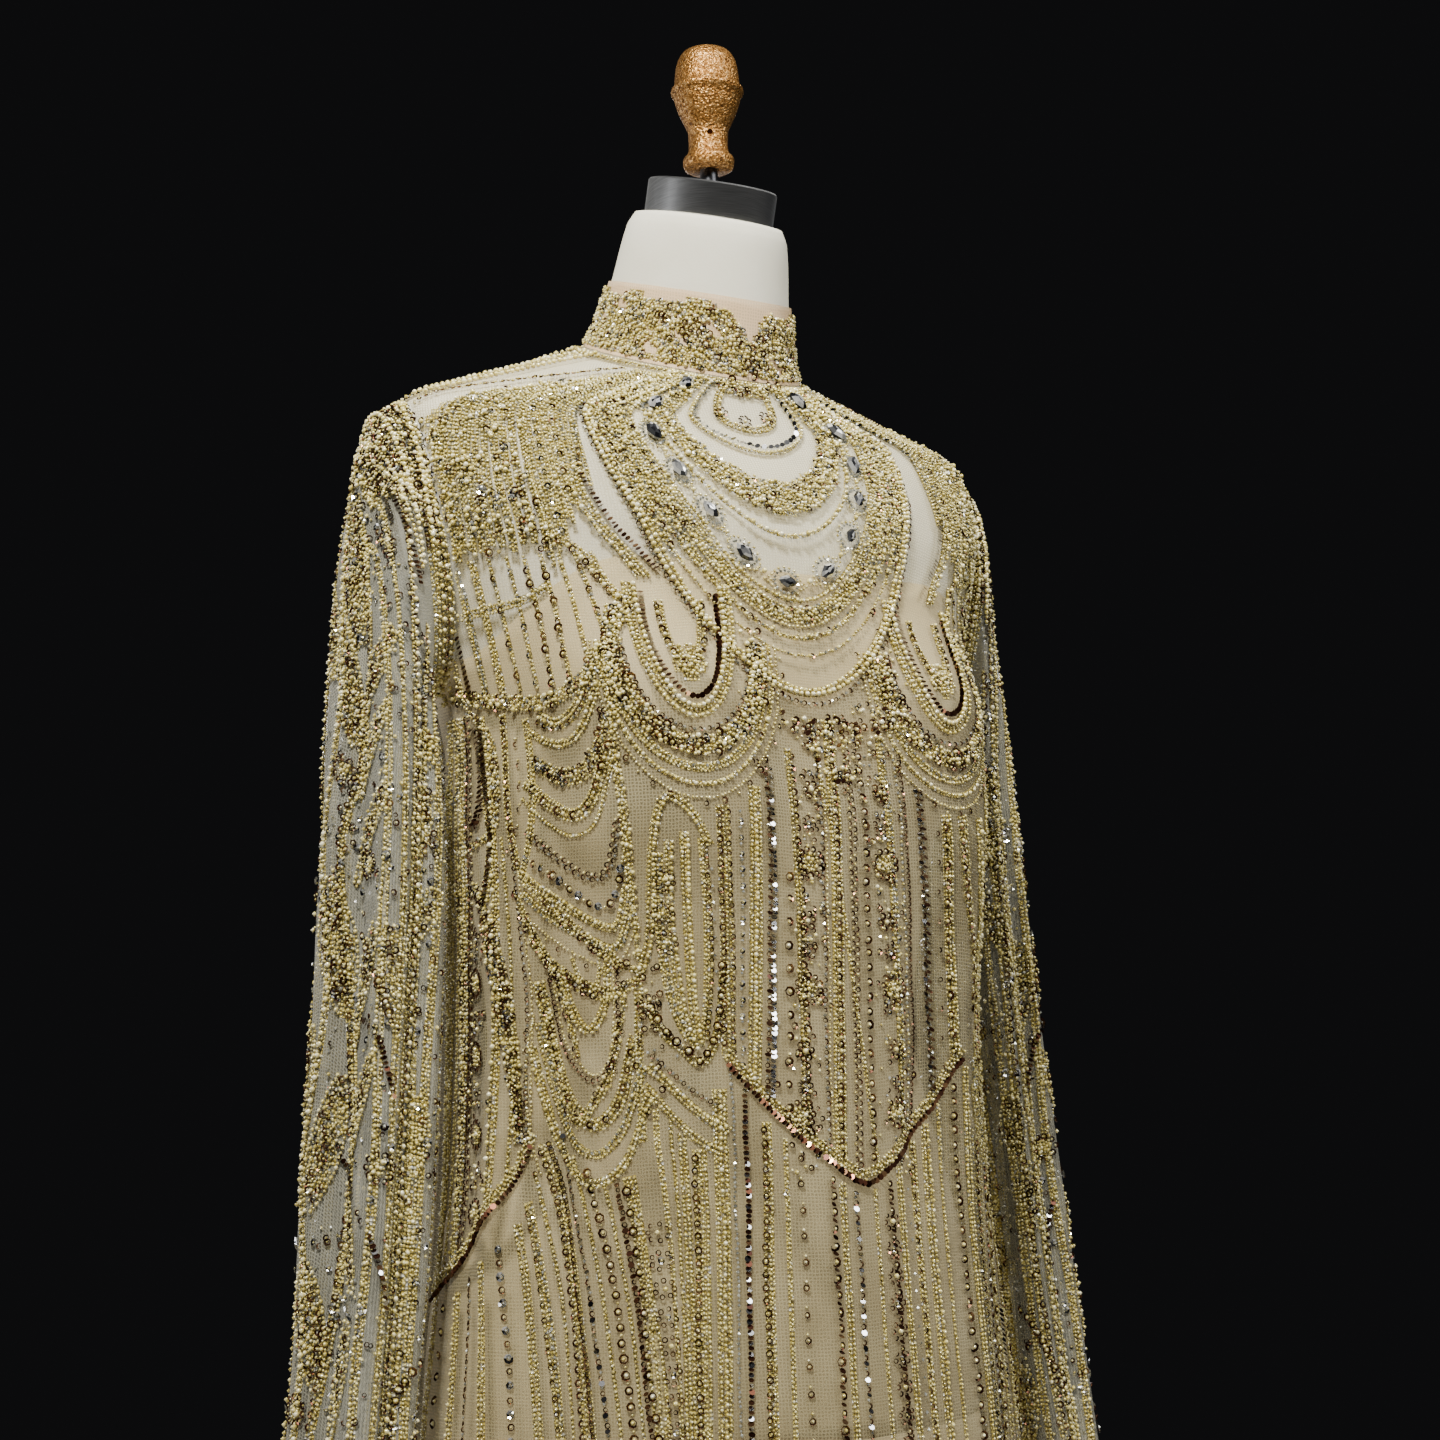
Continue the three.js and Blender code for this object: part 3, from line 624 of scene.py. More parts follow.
def sleeve_sheet(name, skin, side):
    """A sleeve's net, closed along the seam under the arm."""
    turn = np.linspace(0, 2 * math.pi, SLEEVE_ROUND + 1)[None, :] * side
    row = np.concatenate([np.linspace(-0.98, 0, 8), np.linspace(0.12, CUFF, 92)])[:, None]
    turn, row = np.broadcast_arrays(turn, row)
    return sheet_mesh(name, lifted(skin, turn, row, -WALL / 2 * side, 0.01, 0.02), closed=True)


net["sleeve_right"] = sleeve_sheet("sleeve_right_net", sleeve_right, -1)
net["sleeve_left"] = sleeve_sheet("sleeve_left_net", sleeve_left, 1)
NAPE_SIDE = math.pi - 0.003
turn, z = np.meshgrid(np.linspace(-NAPE_SIDE, NAPE_SIDE, 97), np.linspace(NECK_SEAM + 0.2, COLLAR_TOP, 12))
net["collar"] = sheet_mesh("collar_net", lifted(form_skin, turn, z, NET_MIDDLE))
print("net:", {node: len(obj.data.polygons) for node, obj in net.items()}, "faces")

# %% [markdown]
# Net is mostly holes: a hexagon of fine thread every millimetre. It is drawn as a see-through cloth whose
# threads are denser where they cross. The mesh here is 1.7 mm, coarser than the real 0.9 mm, so it shows.
# The collar's net is doubled and flesh coloured, so it is nearly solid.

# %% Net
NET_CELL = 0.0017


def net_material(name, thread, clear, dense):
    """Net of two thread colours. Clear and dense are how solid it is in a hole and on a thread."""
    material, tree, shader = new_material(name, Roughness=0.62, Sheen_Weight=0.2)
    cloth_map = add_node(tree, "UVMap", uv_map="cut").outputs["UV"]
    holes = add_node(tree, "TexVoronoi", {"Vector": cloth_map, "Scale": 1 / NET_CELL, "Randomness": 0.35},
                     voronoi_dimensions="2D", feature="DISTANCE_TO_EDGE").outputs["Distance"]
    threads = ramp(tree, holes, (0.05, dense), (0.3, clear))
    cloudy = add_node(tree, "TexNoise", {"Vector": cloth_map, "Scale": 30.0, "Detail": 2.0}).outputs["Fac"]
    feed(shader, Base_Color=ramp(tree, cloudy, (0.3, thread[0]), (0.7, thread[1])), Alpha=threads)
    return material


gown_net = net_material("champagne_tulle", ("#AFA27A", "#CFC398"), 0.16, 0.46)
sleeve_net = net_material("sage_tulle", ("#A5A392", "#C6C4B2"), 0.15, 0.5)
collar_tulle = net_material("flesh_tulle_doubled", ("#D9B88C", "#E6C9A0"), 0.7, 0.95)
tulles = {"gown": gown_net, "sleeve": sleeve_net, "collar": collar_tulle}
for node, obj in net.items():
    finish(obj, tulles[node.split("_")[0]], node)
print("in net:", ", ".join(net))

# %% [markdown]
# The dress form is papier-mache under a stretched white cover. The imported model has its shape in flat
# facets, so a copy of it is made whole, cut finer, and every point is moved out to the true section.

# %% The dress form
def select_only(obj=None):
    """Leaves one object selected, or none."""
    if bpy.context.object and bpy.context.object.mode != "OBJECT":
        bpy.ops.object.mode_set(mode="OBJECT")
    bpy.ops.object.select_all(action="DESELECT")
    if obj:
        obj.select_set(True)
        bpy.context.view_layer.objects.active = obj


def finer_copy(node, name, cuts):
    """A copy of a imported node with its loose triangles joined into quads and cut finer."""
    obj = add_object(name, nodes[node].data.copy())
    select_only(obj)
    bpy.ops.object.mode_set(mode="EDIT")
    bpy.ops.mesh.select_all(action="SELECT")
    bpy.ops.mesh.remove_doubles(threshold=0.00005)
    bpy.ops.mesh.tris_convert_to_quads(face_threshold=0.9, shape_threshold=0.9)
    bpy.ops.mesh.subdivide(number_cuts=cuts)
    bpy.ops.mesh.normals_make_consistent(inside=False)
    bpy.ops.object.mode_set(mode="OBJECT")
    return obj


NEAR_SKIN = 9


def on_form(points):
    """Points near the form's skin, moved on to it. Those inside its ends stay."""
    z = points[:, 2].copy()
    for _ in range(6):
        section = form_section(z)
        y = points[:, 1] - section["middle"]
        z = points[:, 2] - section["tilt"] * y
    depth = np.where(y < 0, section["front"], section["back"])
    turn = np.arctan2(points[:, 0] / section["wide"], -y / depth)
    moved = form_skin(turn, z)
    at_side = np.linalg.norm(moved - points, axis=1) < NEAR_SKIN
    return np.where(at_side[:, None], moved, points)


dress_form = finer_copy("form_torso", "dress_form", 2)
points = np.zeros(len(dress_form.data.vertices) * 3)
dress_form.data.vertices.foreach_get("co", points)
points = on_form(points.reshape(-1, 3) / MM)
dress_form.data.vertices.foreach_set("co", (points * MM).ravel())
dress_form.data.update()
cover, tree, shader = new_material("white_stretched_jersey_cover", Roughness=0.82)
place = add_node(tree, "TexCoord").outputs["Object"]
fibre = add_node(tree, "TexNoise", {"Vector": place, "Scale": 900.0, "Detail": 3.0}).outputs["Fac"]
stain = add_node(tree, "TexNoise", {"Vector": place, "Scale": 18.0, "Detail": 4.0}).outputs["Fac"]
weave = add_node(tree, "Bump", {"Height": fibre, "Strength": 0.3, "Distance": 0.0003})
feed(shader, Base_Color=ramp(tree, stain, (0.3, "#DBD7C4"), (0.7, "#E9E6D5")), Normal=weave.outputs[0])
finish(dress_form, cover, "form_torso")
print("dress form:", len(dress_form.data.polygons), "faces")

# %% [markdown]
# The hard pieces are turned or pressed metal and wood, so each is modelled as a turner would: start from a
# disc and draw it up ring by ring. One helper does that with Blender's own edit tools.

# %% Turned pieces
SMOOTH_BELOW = math.radians(38)


def turned(name, profile, sides, centre=(0, 0)):
    """A solid drawn up from a disc. The profile is rows of height and radius, in millimetres."""
    select_only()
    (low, first), *rest = profile
    at = (centre[0] * MM, centre[1] * MM, low * MM)
    bpy.ops.mesh.primitive_circle_add(vertices=sides, radius=first * MM, fill_type="NGON", location=at)
    obj = bpy.context.object
    obj.name = name
    bpy.ops.object.transform_apply(location=True, rotation=True, scale=True)
    bpy.ops.object.mode_set(mode="EDIT")
    bpy.ops.mesh.select_all(action="SELECT")
    for height, radius in rest:
        bpy.ops.mesh.extrude_region_move(TRANSFORM_OT_translate={"value": (0, 0, (height - low) * MM)})
        grow = radius / first
        bpy.ops.transform.resize(value=(grow, grow, 1), center_override=(at[0], at[1], height * MM))
        low, first = height, radius
    bpy.ops.mesh.select_all(action="SELECT")
    bpy.ops.mesh.normals_make_consistent(inside=False)
    bpy.ops.object.mode_set(mode="OBJECT")
    bpy.ops.object.shade_smooth_by_angle(angle=SMOOTH_BELOW)
    return obj


def soften(obj, width):
    """Rounds the sharp edges with a bevel, and bakes it in."""
    select_only(obj)
    bevel = obj.modifiers.new("soften", "BEVEL")
    bevel.width = width * MM
    bevel.segments = 2
    bevel.limit_method = "ANGLE"
    bevel.angle_limit = math.radians(30)
    bpy.ops.object.modifier_apply(modifier="soften")
    bpy.ops.object.shade_smooth_by_angle(angle=SMOOTH_BELOW)


def box_of(node):
    """A node's lowest and highest corner, in millimetres."""
    low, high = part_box(node)
    return np.array(low) / MM, np.array(high) / MM


print("turned pieces start as discs")

# %% [markdown]
# The finial is turned in wood: a foot, a slim neck with a screw hole, a bulb, a bead and a tapered top. It
# stands upright on a short steel spindle a little behind the middle of the cap.

# %% Finial and spindle
low, high = box_of("finial")
FINIAL_X, FINIAL_Y = (low[0] + high[0]) / 2, (low[1] + high[1]) / 2
FINIAL_PROFILE = [
    (0, 12.6), (0.7, 13.6), (2.2, 14.1), (4.6, 14.3), (6.2, 13.9), (7.2, 12.7), (8.4, 11.9), (10.5, 11.1),
    (14, 10.9), (19, 11.0), (22.4, 11.3), (23.2, 11.7), (25, 12.5), (28, 13.9), (31.5, 15.5), (35, 16.9),
    (38.5, 18.0), (41.4, 18.6), (42.6, 19.3), (43.6, 20.0), (45, 20.4), (46.3, 20.1), (46.9, 19.0),
    (47.6, 18.5), (49.5, 18.3), (54, 17.9), (59, 17.3), (63, 16.2), (65.6, 14.9), (67.6, 13.3), (68.6, 11.6),
    (69.1, 9.0), (69.2, 4.0),
]
finial = turned("finial_turned", [(low[2] + z, r) for z, r in FINIAL_PROFILE], 48, (FINIAL_X, FINIAL_Y))
select_only()
SCREW_TURN, SCREW_UP, NECK_RADIUS, HOLE_RADIUS, DRILL_LONG = -0.45, 18, 11, 1.6, 9
hole_at = (FINIAL_X - NECK_RADIUS * math.sin(-SCREW_TURN), FINIAL_Y - NECK_RADIUS * math.cos(SCREW_TURN),
           low[2] + SCREW_UP)
bpy.ops.mesh.primitive_cylinder_add(
    vertices=20, radius=HOLE_RADIUS * MM, depth=DRILL_LONG * MM, location=[v * MM for v in hole_at],
    rotation=(math.pi / 2, 0, SCREW_TURN))
drill = bpy.context.object
select_only(finial)
boolean = finial.modifiers.new("hole", "BOOLEAN")
boolean.object = drill
boolean.operation = "DIFFERENCE"
bpy.ops.object.modifier_apply(modifier="hole")
bpy.data.objects.remove(drill)
bpy.ops.object.shade_smooth_by_angle(angle=SMOOTH_BELOW)

low, high = box_of("finial_spindle")
spindle = turned("finial_spindle_rod", [(low[2], 5), (high[2], 5)], 24, (FINIAL_X, FINIAL_Y))
print("finial:", len(finial.data.polygons), "faces")

# %% [markdown]
# The neck's steel cap is a short drum, brushed round its side, with its edges broken. It lies in the plane
# of the neck's top, which leans forward.

# %% Neck cap
NECK_LEAN, NECK_TOP, NECK_MIDDLE = math.atan(0.32), 1499, -24
CAP_RADIUS, CAP_THICK = 36, 19.5
cap = turned("neck_cap_drum", [
    (0.4, CAP_RADIUS - 0.6), (0.9, CAP_RADIUS), (18.6, CAP_RADIUS), (CAP_THICK, CAP_RADIUS - 0.9),
    (CAP_THICK, CAP_RADIUS - 2.5), (CAP_THICK - 0.5, CAP_RADIUS - 3.2), (CAP_THICK - 0.5, 8),
], 96)
cap.data.transform(
    Matrix.Translation((0, NECK_MIDDLE * MM, NECK_TOP * MM)) @ Matrix.Rotation(NECK_LEAN, 4, "X"))
print("cap:", [round(v) for v in box_of("neck_cap")[1]])

# %% [markdown]
# Under the gown the form stands on a socket, a pole and a round base of steel. Nothing of them shows from
# the camera, so they are plain, with their edges softened.

# %% Stand
base = turned("stand_base_disc", [
    (0, 171), (1, 172), (11.4, 172), (12.4, 171.4), (16, 167), (22, 40), (28.5, 31.5), (30, 30), (30, 16),
], 96)
pole = turned("stand_pole_tube", [(30.3, 15), (734, 15)], 32)
socket = turned("form_socket_flange", [
    (734.3, 22), (757, 22), (759, 23), (764, 54), (765, 55), (769.4, 55), (769.7, 54.5),
], 64)
for obj in (base, socket):
    soften(obj, 0.6)
print("stand:", sum(len(o.data.polygons) for o in (base, pole, socket)), "faces")

# %% [markdown]
# Three pearl buttons close the collar at the nape. The thread loops that hold them are finer than a bead
# and lie hidden under them, so they aren't made.

# %% Nape buttons
BUTTON_HEIGHTS = [1432, 1444, 1456]
BUTTON_GAP = 0.3
nape_y = [float(form_skin(math.pi, z)[1]) for z in BUTTON_HEIGHTS]
buttons = []
for number, height in enumerate(BUTTON_HEIGHTS, 1):
    button = turned(f"nape_button_pearl_{number}", [
        (0, 1.4), (0.8, 1.5), (1.3, 2.8), (2.2, 3.7), (3.1, 4.0), (4.0, 3.6), (4.8, 2.6), (5.3, 1.2),
    ], 20)
    normal = Vector(across(form_skin, np.array(math.pi), np.array(float(height)), 0.002, 0.5))
    seat = Vector(form_skin(math.pi, height)) + normal * (NET_EASE + WALL + BUTTON_GAP)
    stand = Vector((0, 0, 1)).rotation_difference(normal).to_matrix().to_4x4()
    button.data.transform(Matrix.Translation(seat * MM) @ stand)
    buttons.append(button)
print("buttons on the nape at y", [round(y) for y in nape_y])

# %% [markdown]
# The finial's gilding is thick gold paint dabbed on, so it glitters and is pitted, and darker where it
# has sunk in. The cap and the stand are brushed steel: fine scratches round them stretch the highlights.

# %% Gilt and steel
gilt, tree, shader = new_material("dabbed_antique_gold_paint", Metallic=0.85, Roughness=0.38)
place = add_node(tree, "TexCoord").outputs["Object"]
dabs = add_node(tree, "TexNoise", {
    "Vector": place, "Scale": 620.0, "Detail": 3.0, "Roughness": 0.6,
}).outputs["Fac"]
pits = add_node(tree, "TexVoronoi", {"Vector": place, "Scale": 900.0}, feature="SMOOTH_F1").outputs[0]
gold = ramp(tree, dabs, (0.36, "#5C3A17"), (0.5, "#96682F"), (0.66, "#CBA067"))
worn = ramp(tree, dabs, (0.3, 0.55), (0.7, 0.3))
lumps = add_node(tree, "Math", {0: dabs, 1: pits}, operation="ADD").outputs[0]
relief = add_node(tree, "Bump", {"Height": lumps, "Strength": 0.75, "Distance": 0.0009})
feed(shader, Base_Color=gold, Roughness=worn, Normal=relief.outputs[0])


def brushed(name, colour, dark, bands, **values):
    """Steel brushed round the upright axis: noise squeezed along the height."""
    material, tree, shader = new_material(name, Metallic=1.0, **values)
    place = add_node(tree, "TexCoord").outputs["Object"]
    squeezed = add_node(tree, "Mapping", {"Vector": place, "Scale": (14, 14, bands)}).outputs[0]
    scratch = add_node(tree, "TexNoise", {"Vector": squeezed, "Scale": 5.0, "Detail": 6.0}).outputs["Fac"]
    relief = add_node(tree, "Bump", {"Height": scratch, "Strength": 0.12, "Distance": 0.0002})
    feed(shader, Base_Color=ramp(tree, scratch, (0.35, dark), (0.65, colour)), Normal=relief.outputs[0])
    return material


cap_steel = brushed("brushed_stainless_cap", "#DCDDDF", "#B4B6B9", 900, Roughness=0.32, Anisotropic=0.6)
stand_steel = brushed("satin_steel_stand", "#A5A7AA", "#7E8084", 300, Roughness=0.34)
dark_rod = brushed("blackened_steel_rod", "#55565A", "#3A3B3E", 400, Roughness=0.35)
for obj, metal, slot, node in (
    (finial, gilt, "gilt", "finial"), (spindle, dark_rod, "dark_steel", "finial_spindle"),
    (cap, cap_steel, "steel", "neck_cap"), (base, stand_steel, "steel", "stand_base"),
    (pole, stand_steel, "steel", "stand_pole"), (socket, stand_steel, "steel", "form_socket"),
):
    finish(obj, metal, node, smooth=False)
print("metal pieces done")

# %% [markdown]
# Beads. Tens of thousands of them are sewn on, so each kind is one small shape of a few faces, and all the
# beads of a kind on one piece of cloth are joined in one mesh. A shape's x runs along the thread, z off the
# cloth, and its width is one, so that its size in millimetres scales it.

# %% Bead shapes
def ring(sides, radius, height):
    turn = np.arange(sides) * 2 * math.pi / sides
    return np.stack([radius * np.cos(turn), radius * np.sin(turn), np.full(sides, height)], -1)


def banded(rings, close_top=False):
    """Triangles between rings that have the same number of points."""
    sides = len(rings[0])
    faces = []
    for r in range(len(rings) - 1):
        for c in range(sides):
            a, b = r * sides + c, r * sides + (c + 1) % sides
            faces += [(a, b, b + sides), (a, b + sides, a + sides)]
    if close_top:
        last = (len(rings) - 1) * sides
        faces += [(last, last + c, last + c + 1) for c in range(1, sides - 1)]
    return np.concatenate(rings), np.array(faces)


def icosahedron():
    """Near enough a ball for a pearl of three millimetres."""
    golden = (1 + 5**0.5) / 2
    corners = np.array([(-1, golden, 0), (1, golden, 0), (-1, -golden, 0), (1, -golden, 0), (0, -1, golden),
                        (0, 1, golden), (0, -1, -golden), (0, 1, -golden), (golden, 0, -1), (golden, 0, 1),
                        (-golden, 0, -1), (-golden, 0, 1)], float)
    faces = [(0, 11, 5), (0, 5, 1), (0, 1, 7), (0, 7, 10), (0, 10, 11), (1, 5, 9), (5, 11, 4), (11, 10, 2),
             (10, 7, 6), (7, 1, 8), (3, 9, 4), (3, 4, 2), (3, 2, 6), (3, 6, 8), (3, 8, 9), (4, 9, 5),
             (2, 4, 11), (6, 2, 10), (8, 6, 7), (9, 8, 1)]
    corners = corners / np.linalg.norm(corners[0]) / 2
    return corners + (0, 0, 0.42), np.array(faces)


def small_pearl():
    """Six-sided and pointed, but shaded smooth it looks round at its size."""
    corners = np.concatenate([ring(6, 0.5, 0.42), [(0, 0, 0.9), (0, 0, 0)]])
    faces = [(c, (c + 1) % 6, 6) for c in range(6)] + [((c + 1) % 6, c, 7) for c in range(6)]
    return corners, np.array(faces)


def seed():
    """A faceted seed bead, flat where it lies on the cloth."""
    corners = np.array([(0.5, 0, 0.22), (0, 0.52, 0.22), (-0.5, 0, 0.22), (0, -0.52, 0.22), (0, 0, 0.68)])
    faces = [(0, 1, 4), (1, 2, 4), (2, 3, 4), (3, 0, 4), (0, 2, 1), (0, 3, 2)]
    return corners, np.array(faces)


def cup(hole, deep, sides=7, under=0.06):
    """A cup sequin: a flared ring of foil round a hole."""
    return banded([ring(sides, hole, under), ring(sides, 0.5, under + deep)])


def scale(lean):
    """A flat sequin that lies on the next one like a scale, so it leans along the thread."""
    tilt = np.array(Matrix.Rotation(math.radians(-lean), 3, "Y"))
    corners = ring(8, 0.5, 0) @ tilt.T + (0, 0, 0.5 * math.sin(math.radians(lean)) + 0.02)
    return corners, np.array([(0, c, c + 1) for c in range(1, 7)])


def marquise():
    """A crystal cut long and pointed: a girdle, a crown and a table."""
    outline = ring(8, 0.5, 0)
    outline[:, 1] *= 0.62 * (1 - 0.3 * np.abs(outline[:, 0]) * 2)
    rings = [outline * (0.86, 0.86, 1), outline + (0, 0, 0.12), outline * (0.7, 0.7, 1) + (0, 0, 0.25),
             outline * (0.38, 0.38, 1) + (0, 0, 0.3)]
    return banded(rings, close_top=True)


SHAPES = {
    "pearl": icosahedron(),
    "small_pearl": small_pearl(),
    "seed": seed(),
    "clear_seed": seed(),
    "dark_cup": cup(0.3, 0.2),
    "bright_cup": cup(0.22, 0.14),
    "dark_sequin": scale(42),
    "bright_sequin": scale(34),
    "crystal": marquise(),
}
print("bead shapes:", {name: len(faces) for name, (_, faces) in SHAPES.items()}, "triangles")

# %% [markdown]
# Sewing. Every stitch has a letter, and the pattern of a thread is written as letters that repeat. Beads
# are only noted down while the threads are laid, and made later. No two beads are quite alike in size or
# shade, so a little of both is drawn for each.

# %% Stitches
rng = np.random.default_rng(29)
SMALLEST, LARGEST, SHADE_SPREAD = 0.86, 1.1, 0.22
SKINS = {
    # skin, which way its normal faces, from the skin to the cloth's face, steps for the slopes
    "gown": (net_skin, 1, NET_MIDDLE, 0.002, 0.5),
    "collar": (form_skin, 1, NET_MIDDLE, 0.002, 0.5),
    "sleeve_right": (sleeve_right, -1, -WALL / 2, 0.01, 0.02),
    "sleeve_left": (sleeve_left, 1, -WALL / 2, 0.01, 0.02),
}
STITCHES = {
    # letter: what is sewn there (shape, size, height off the cloth), and how long it is on the thread
    "s": ([("seed", 2.1, 0.3)], 2.2),
    "c": ([("clear_seed", 2.1, 0.3)], 2.2),
    "b": ([("seed", 2.5, 0.3)], 2.5),
    "p": ([("small_pearl", 2.5, 0.3)], 2.7),
    "P": ([("pearl", 3.0, 0.3)], 3.3),
    "o": ([("dark_cup", 2.8, 0.5)], 2.8),
    "d": ([("dark_cup", 3.7, 0.5), ("seed", 1.7, 0.7)], 3.9),
    "D": ([("dark_cup", 4.8, 0.5), ("small_pearl", 2.4, 0.6)], 5.1),
    "w": ([("bright_cup", 3.4, 0.5), ("seed", 1.5, 0.7)], 3.6),
    "W": ([("bright_cup", 4.6, 0.5), ("clear_seed", 2.0, 0.7)], 4.8),
    "k": ([("dark_sequin", 3.2, 0.4)], 2.6),
    "l": ([("bright_sequin", 3.0, 0.4)], 2.3),
    "-": ([], 2.0),
    "_": ([], 6.0),
}
sewn = {}


def sew(cloth, shape, u, v, du, dv, size, lift):
    """Notes down beads: where they are on the skin, the thread's direction, their size and a shade."""
    place = np.stack([np.atleast_1d(a) for a in matched(u, v, du, dv)], -1)
    count = len(place)
    sizes = size * rng.uniform(SMALLEST, LARGEST, count)
    shade = np.clip(rng.normal(0.5, SHADE_SPREAD, count), 0, 1)
    sewn.setdefault((cloth, shape), []).append(np.column_stack([place, sizes, np.full(count, lift), shade]))


def stitch(cloth, letters, u, v, du, dv):
    """Sews what each letter names, at its own place."""
    letters, u, v, du, dv = np.broadcast_arrays(letters, u, v, du, dv)
    for letter in sorted(set(letters.ravel())):
        here = letters == letter
        for shape, size, lift in STITCHES[letter][0]:
            sew(cloth, shape, u[here], v[here], du[here], dv[here], size, lift)


print("stitches:", " ".join(STITCHES))

# %% [markdown]
# A strand is a path on a cloth's skin with a repeat of stitches on it. The stitches are spaced by real
# length along the cloth, and the thread wanders a little, as a sewn one does.

# %% Threads
TINY = 1e-9
AHEAD = 0.7  # how far on either side of a place the thread's direction is taken, mm
UNEVEN, SWAY_LONG = 0.05, 11


def metric(cloth, u, v):
    """Millimetres of cloth for each unit of u and of v."""
    skin, _, _, du, dv = SKINS[cloth]
    per_u = np.linalg.norm(skin(u + du, v) - skin(u - du, v), axis=-1) / (2 * du)
    per_v = np.linalg.norm(skin(u, v + dv) - skin(u, v - dv), axis=-1) / (2 * dv)
    return per_u, per_v


def measured(cloth, u, v):
    """How far along a path each of its points is, in millimetres of cloth."""
    points = SKINS[cloth][0](u, v)
    return np.concatenate([[0], np.cumsum(np.linalg.norm(np.diff(points, axis=0), axis=1))])


def beside(cloth, u, v, run, along, off):
    """Places along a path and off to its left, in millimetres, and the path's direction there."""
    at_u, at_v = np.interp(along, run, u), np.interp(along, run, v)
    du = np.interp(along + AHEAD, run, u) - np.interp(along - AHEAD, run, u)
    dv = np.interp(along + AHEAD, run, v) - np.interp(along - AHEAD, run, v)
    per_u, per_v = metric(cloth, at_u, at_v)
    length = np.hypot(du * per_u, dv * per_v) + TINY
    return at_u - off * dv * per_v / length / per_u, at_v + off * du * per_u / length / per_v, du, dv


def strand(cloth, u, v, repeat, wander=0.35, off=0.0):
    """Sews a repeat of stitches along a path on a cloth."""
    u, v = matched(u, v)
    run = measured(cloth, u, v)
    lengths = np.array([STITCHES[letter][1] for letter in repeat])
    times = int(run[-1] / lengths.sum()) + 1
    steps = np.tile(lengths, times)
    places = np.cumsum(steps) - steps / 2
    places = places + rng.normal(0, UNEVEN, len(places)) * steps
    letters = np.tile(list(repeat), times)
    held = places < run[-1]
    places, letters = places[held], letters[held]
    sway = np.sin(places / SWAY_LONG + rng.uniform(0, 6)) + 0.6 * rng.normal(0, 0.5, len(places))
    sway = wander * sway
    stitch(cloth, letters, *beside(cloth, u, v, run, places, off + sway))


def curve(*points, side=1, steps=14):
    """A smooth path through some places (u, v). The side -1 mirrors it."""
    p = np.array([points[0], *points, points[-1]], float)
    t = np.linspace(0, 1, steps, endpoint=False)[:, None]
    parts = []
    for a, b, c, d in zip(p, p[1:], p[2:], p[3:]):
        parts.append(0.5 * (2 * b + (c - a) * t + (2 * a - 5 * b + 4 * c - d) * t**2
                            + (3 * b - a - 3 * c + d) * t**3))
    path = np.concatenate([*parts, p[-1:]])
    return side * path[:, 0], path[:, 1]


print("cloths to sew on:", ", ".join(SKINS))

# %% [markdown]
# Under rows of gold beads lie finer seeds, too many to make one by one. They are noted down as narrow strips
# that carry a second map in millimetres of cloth, so that their pattern comes out at its true size.

# %% Strips of fine seeds
grounds = {}


def ground(cloth, u, v, wide, step=5.0):
    """Notes down a narrow strip of fine seeds along a path, to lie under the beads."""
    u, v, wide = matched(u, v, wide)
    run = measured(cloth, u, v)
    along = np.linspace(0, run[-1], int(run[-1] / step) + 2)
    half = np.interp(along, run, wide) / 2
    sides = [beside(cloth, u, v, run, along, off)[:2] for off in (-half, half)]
    at = np.stack([np.stack(side, -1) for side in sides], 1)
    flat = np.stack([np.stack([off, along], -1) for off in (-half, half)], 1) + rng.uniform(0, 900, 2)
    grid = np.arange(len(along) * 2).reshape(-1, 2)
    faces = np.stack([grid[:-1, 0], grid[:-1, 1], grid[1:, 1], grid[1:, 0]], -1)
    grounds.setdefault(cloth, []).append((at.reshape(-1, 2), flat.reshape(-1, 2), faces))


def patch(cloth, u, v, keep, step=3.5):
    """The same, for a shape that is covered all over."""
    per_u, per_v = metric(cloth, sum(u) / 2, sum(v) / 2)
    around = np.linspace(*u, max(2, int((u[1] - u[0]) * per_u / step)))
    up = np.linspace(*v, max(2, int((v[1] - v[0]) * per_v / step)))
    at = np.stack(np.meshgrid(around, up), -1)
    grid = np.arange(at.size // 2).reshape(at.shape[:2])
    faces = np.stack([grid[:-1, :-1], grid[:-1, 1:], grid[1:, 1:], grid[1:, :-1]], -1).reshape(-1, 4)
    at = at.reshape(-1, 2)
    faces = faces[keep(*at[faces].mean(1).T)]
    grounds.setdefault(cloth, []).append((at, at * (per_u, per_v), faces))


print("strips are noted down for each cloth")

# %% [markdown]
# Solid beadwork is sewn as threads side by side, or as a strip or a shape that is filled from a bag of mixed
# beads. Filled places are a honeycomb that has been shaken, as beads sewn by hand are close but never even.

# %% Bands and filled shapes
HONEYCOMB, SHAKEN = 0.87, 0.2


def strands(cloth, u, v, threads, gap=2.3, wander=0.35, under=None):
    """Threads side by side, each a word, with a gap in millimetres between them, on a strip of fine seeds."""
    repeats = threads.split()
    for number, repeat in enumerate(repeats):
        strand(cloth, u, v, repeat, wander, (number - (len(repeats) - 1) / 2) * gap)
    if under is None:  # only under threads that are mostly gold
        letters = "".join(repeats)
        gold = sum(letter in "sbpP" for letter in letters)
        under = (len(repeats) - 1) * gap + 2.4 if gold * 2 > len(letters) else 0
    if under:
        ground(cloth, u, v, under)


def honeycomb_row(number, length, gap):
    """Places along a row of a honeycomb. Every second row is moved on by half a gap."""
    return np.arange(gap * (0.25 + 0.5 * (number % 2)), length, gap)


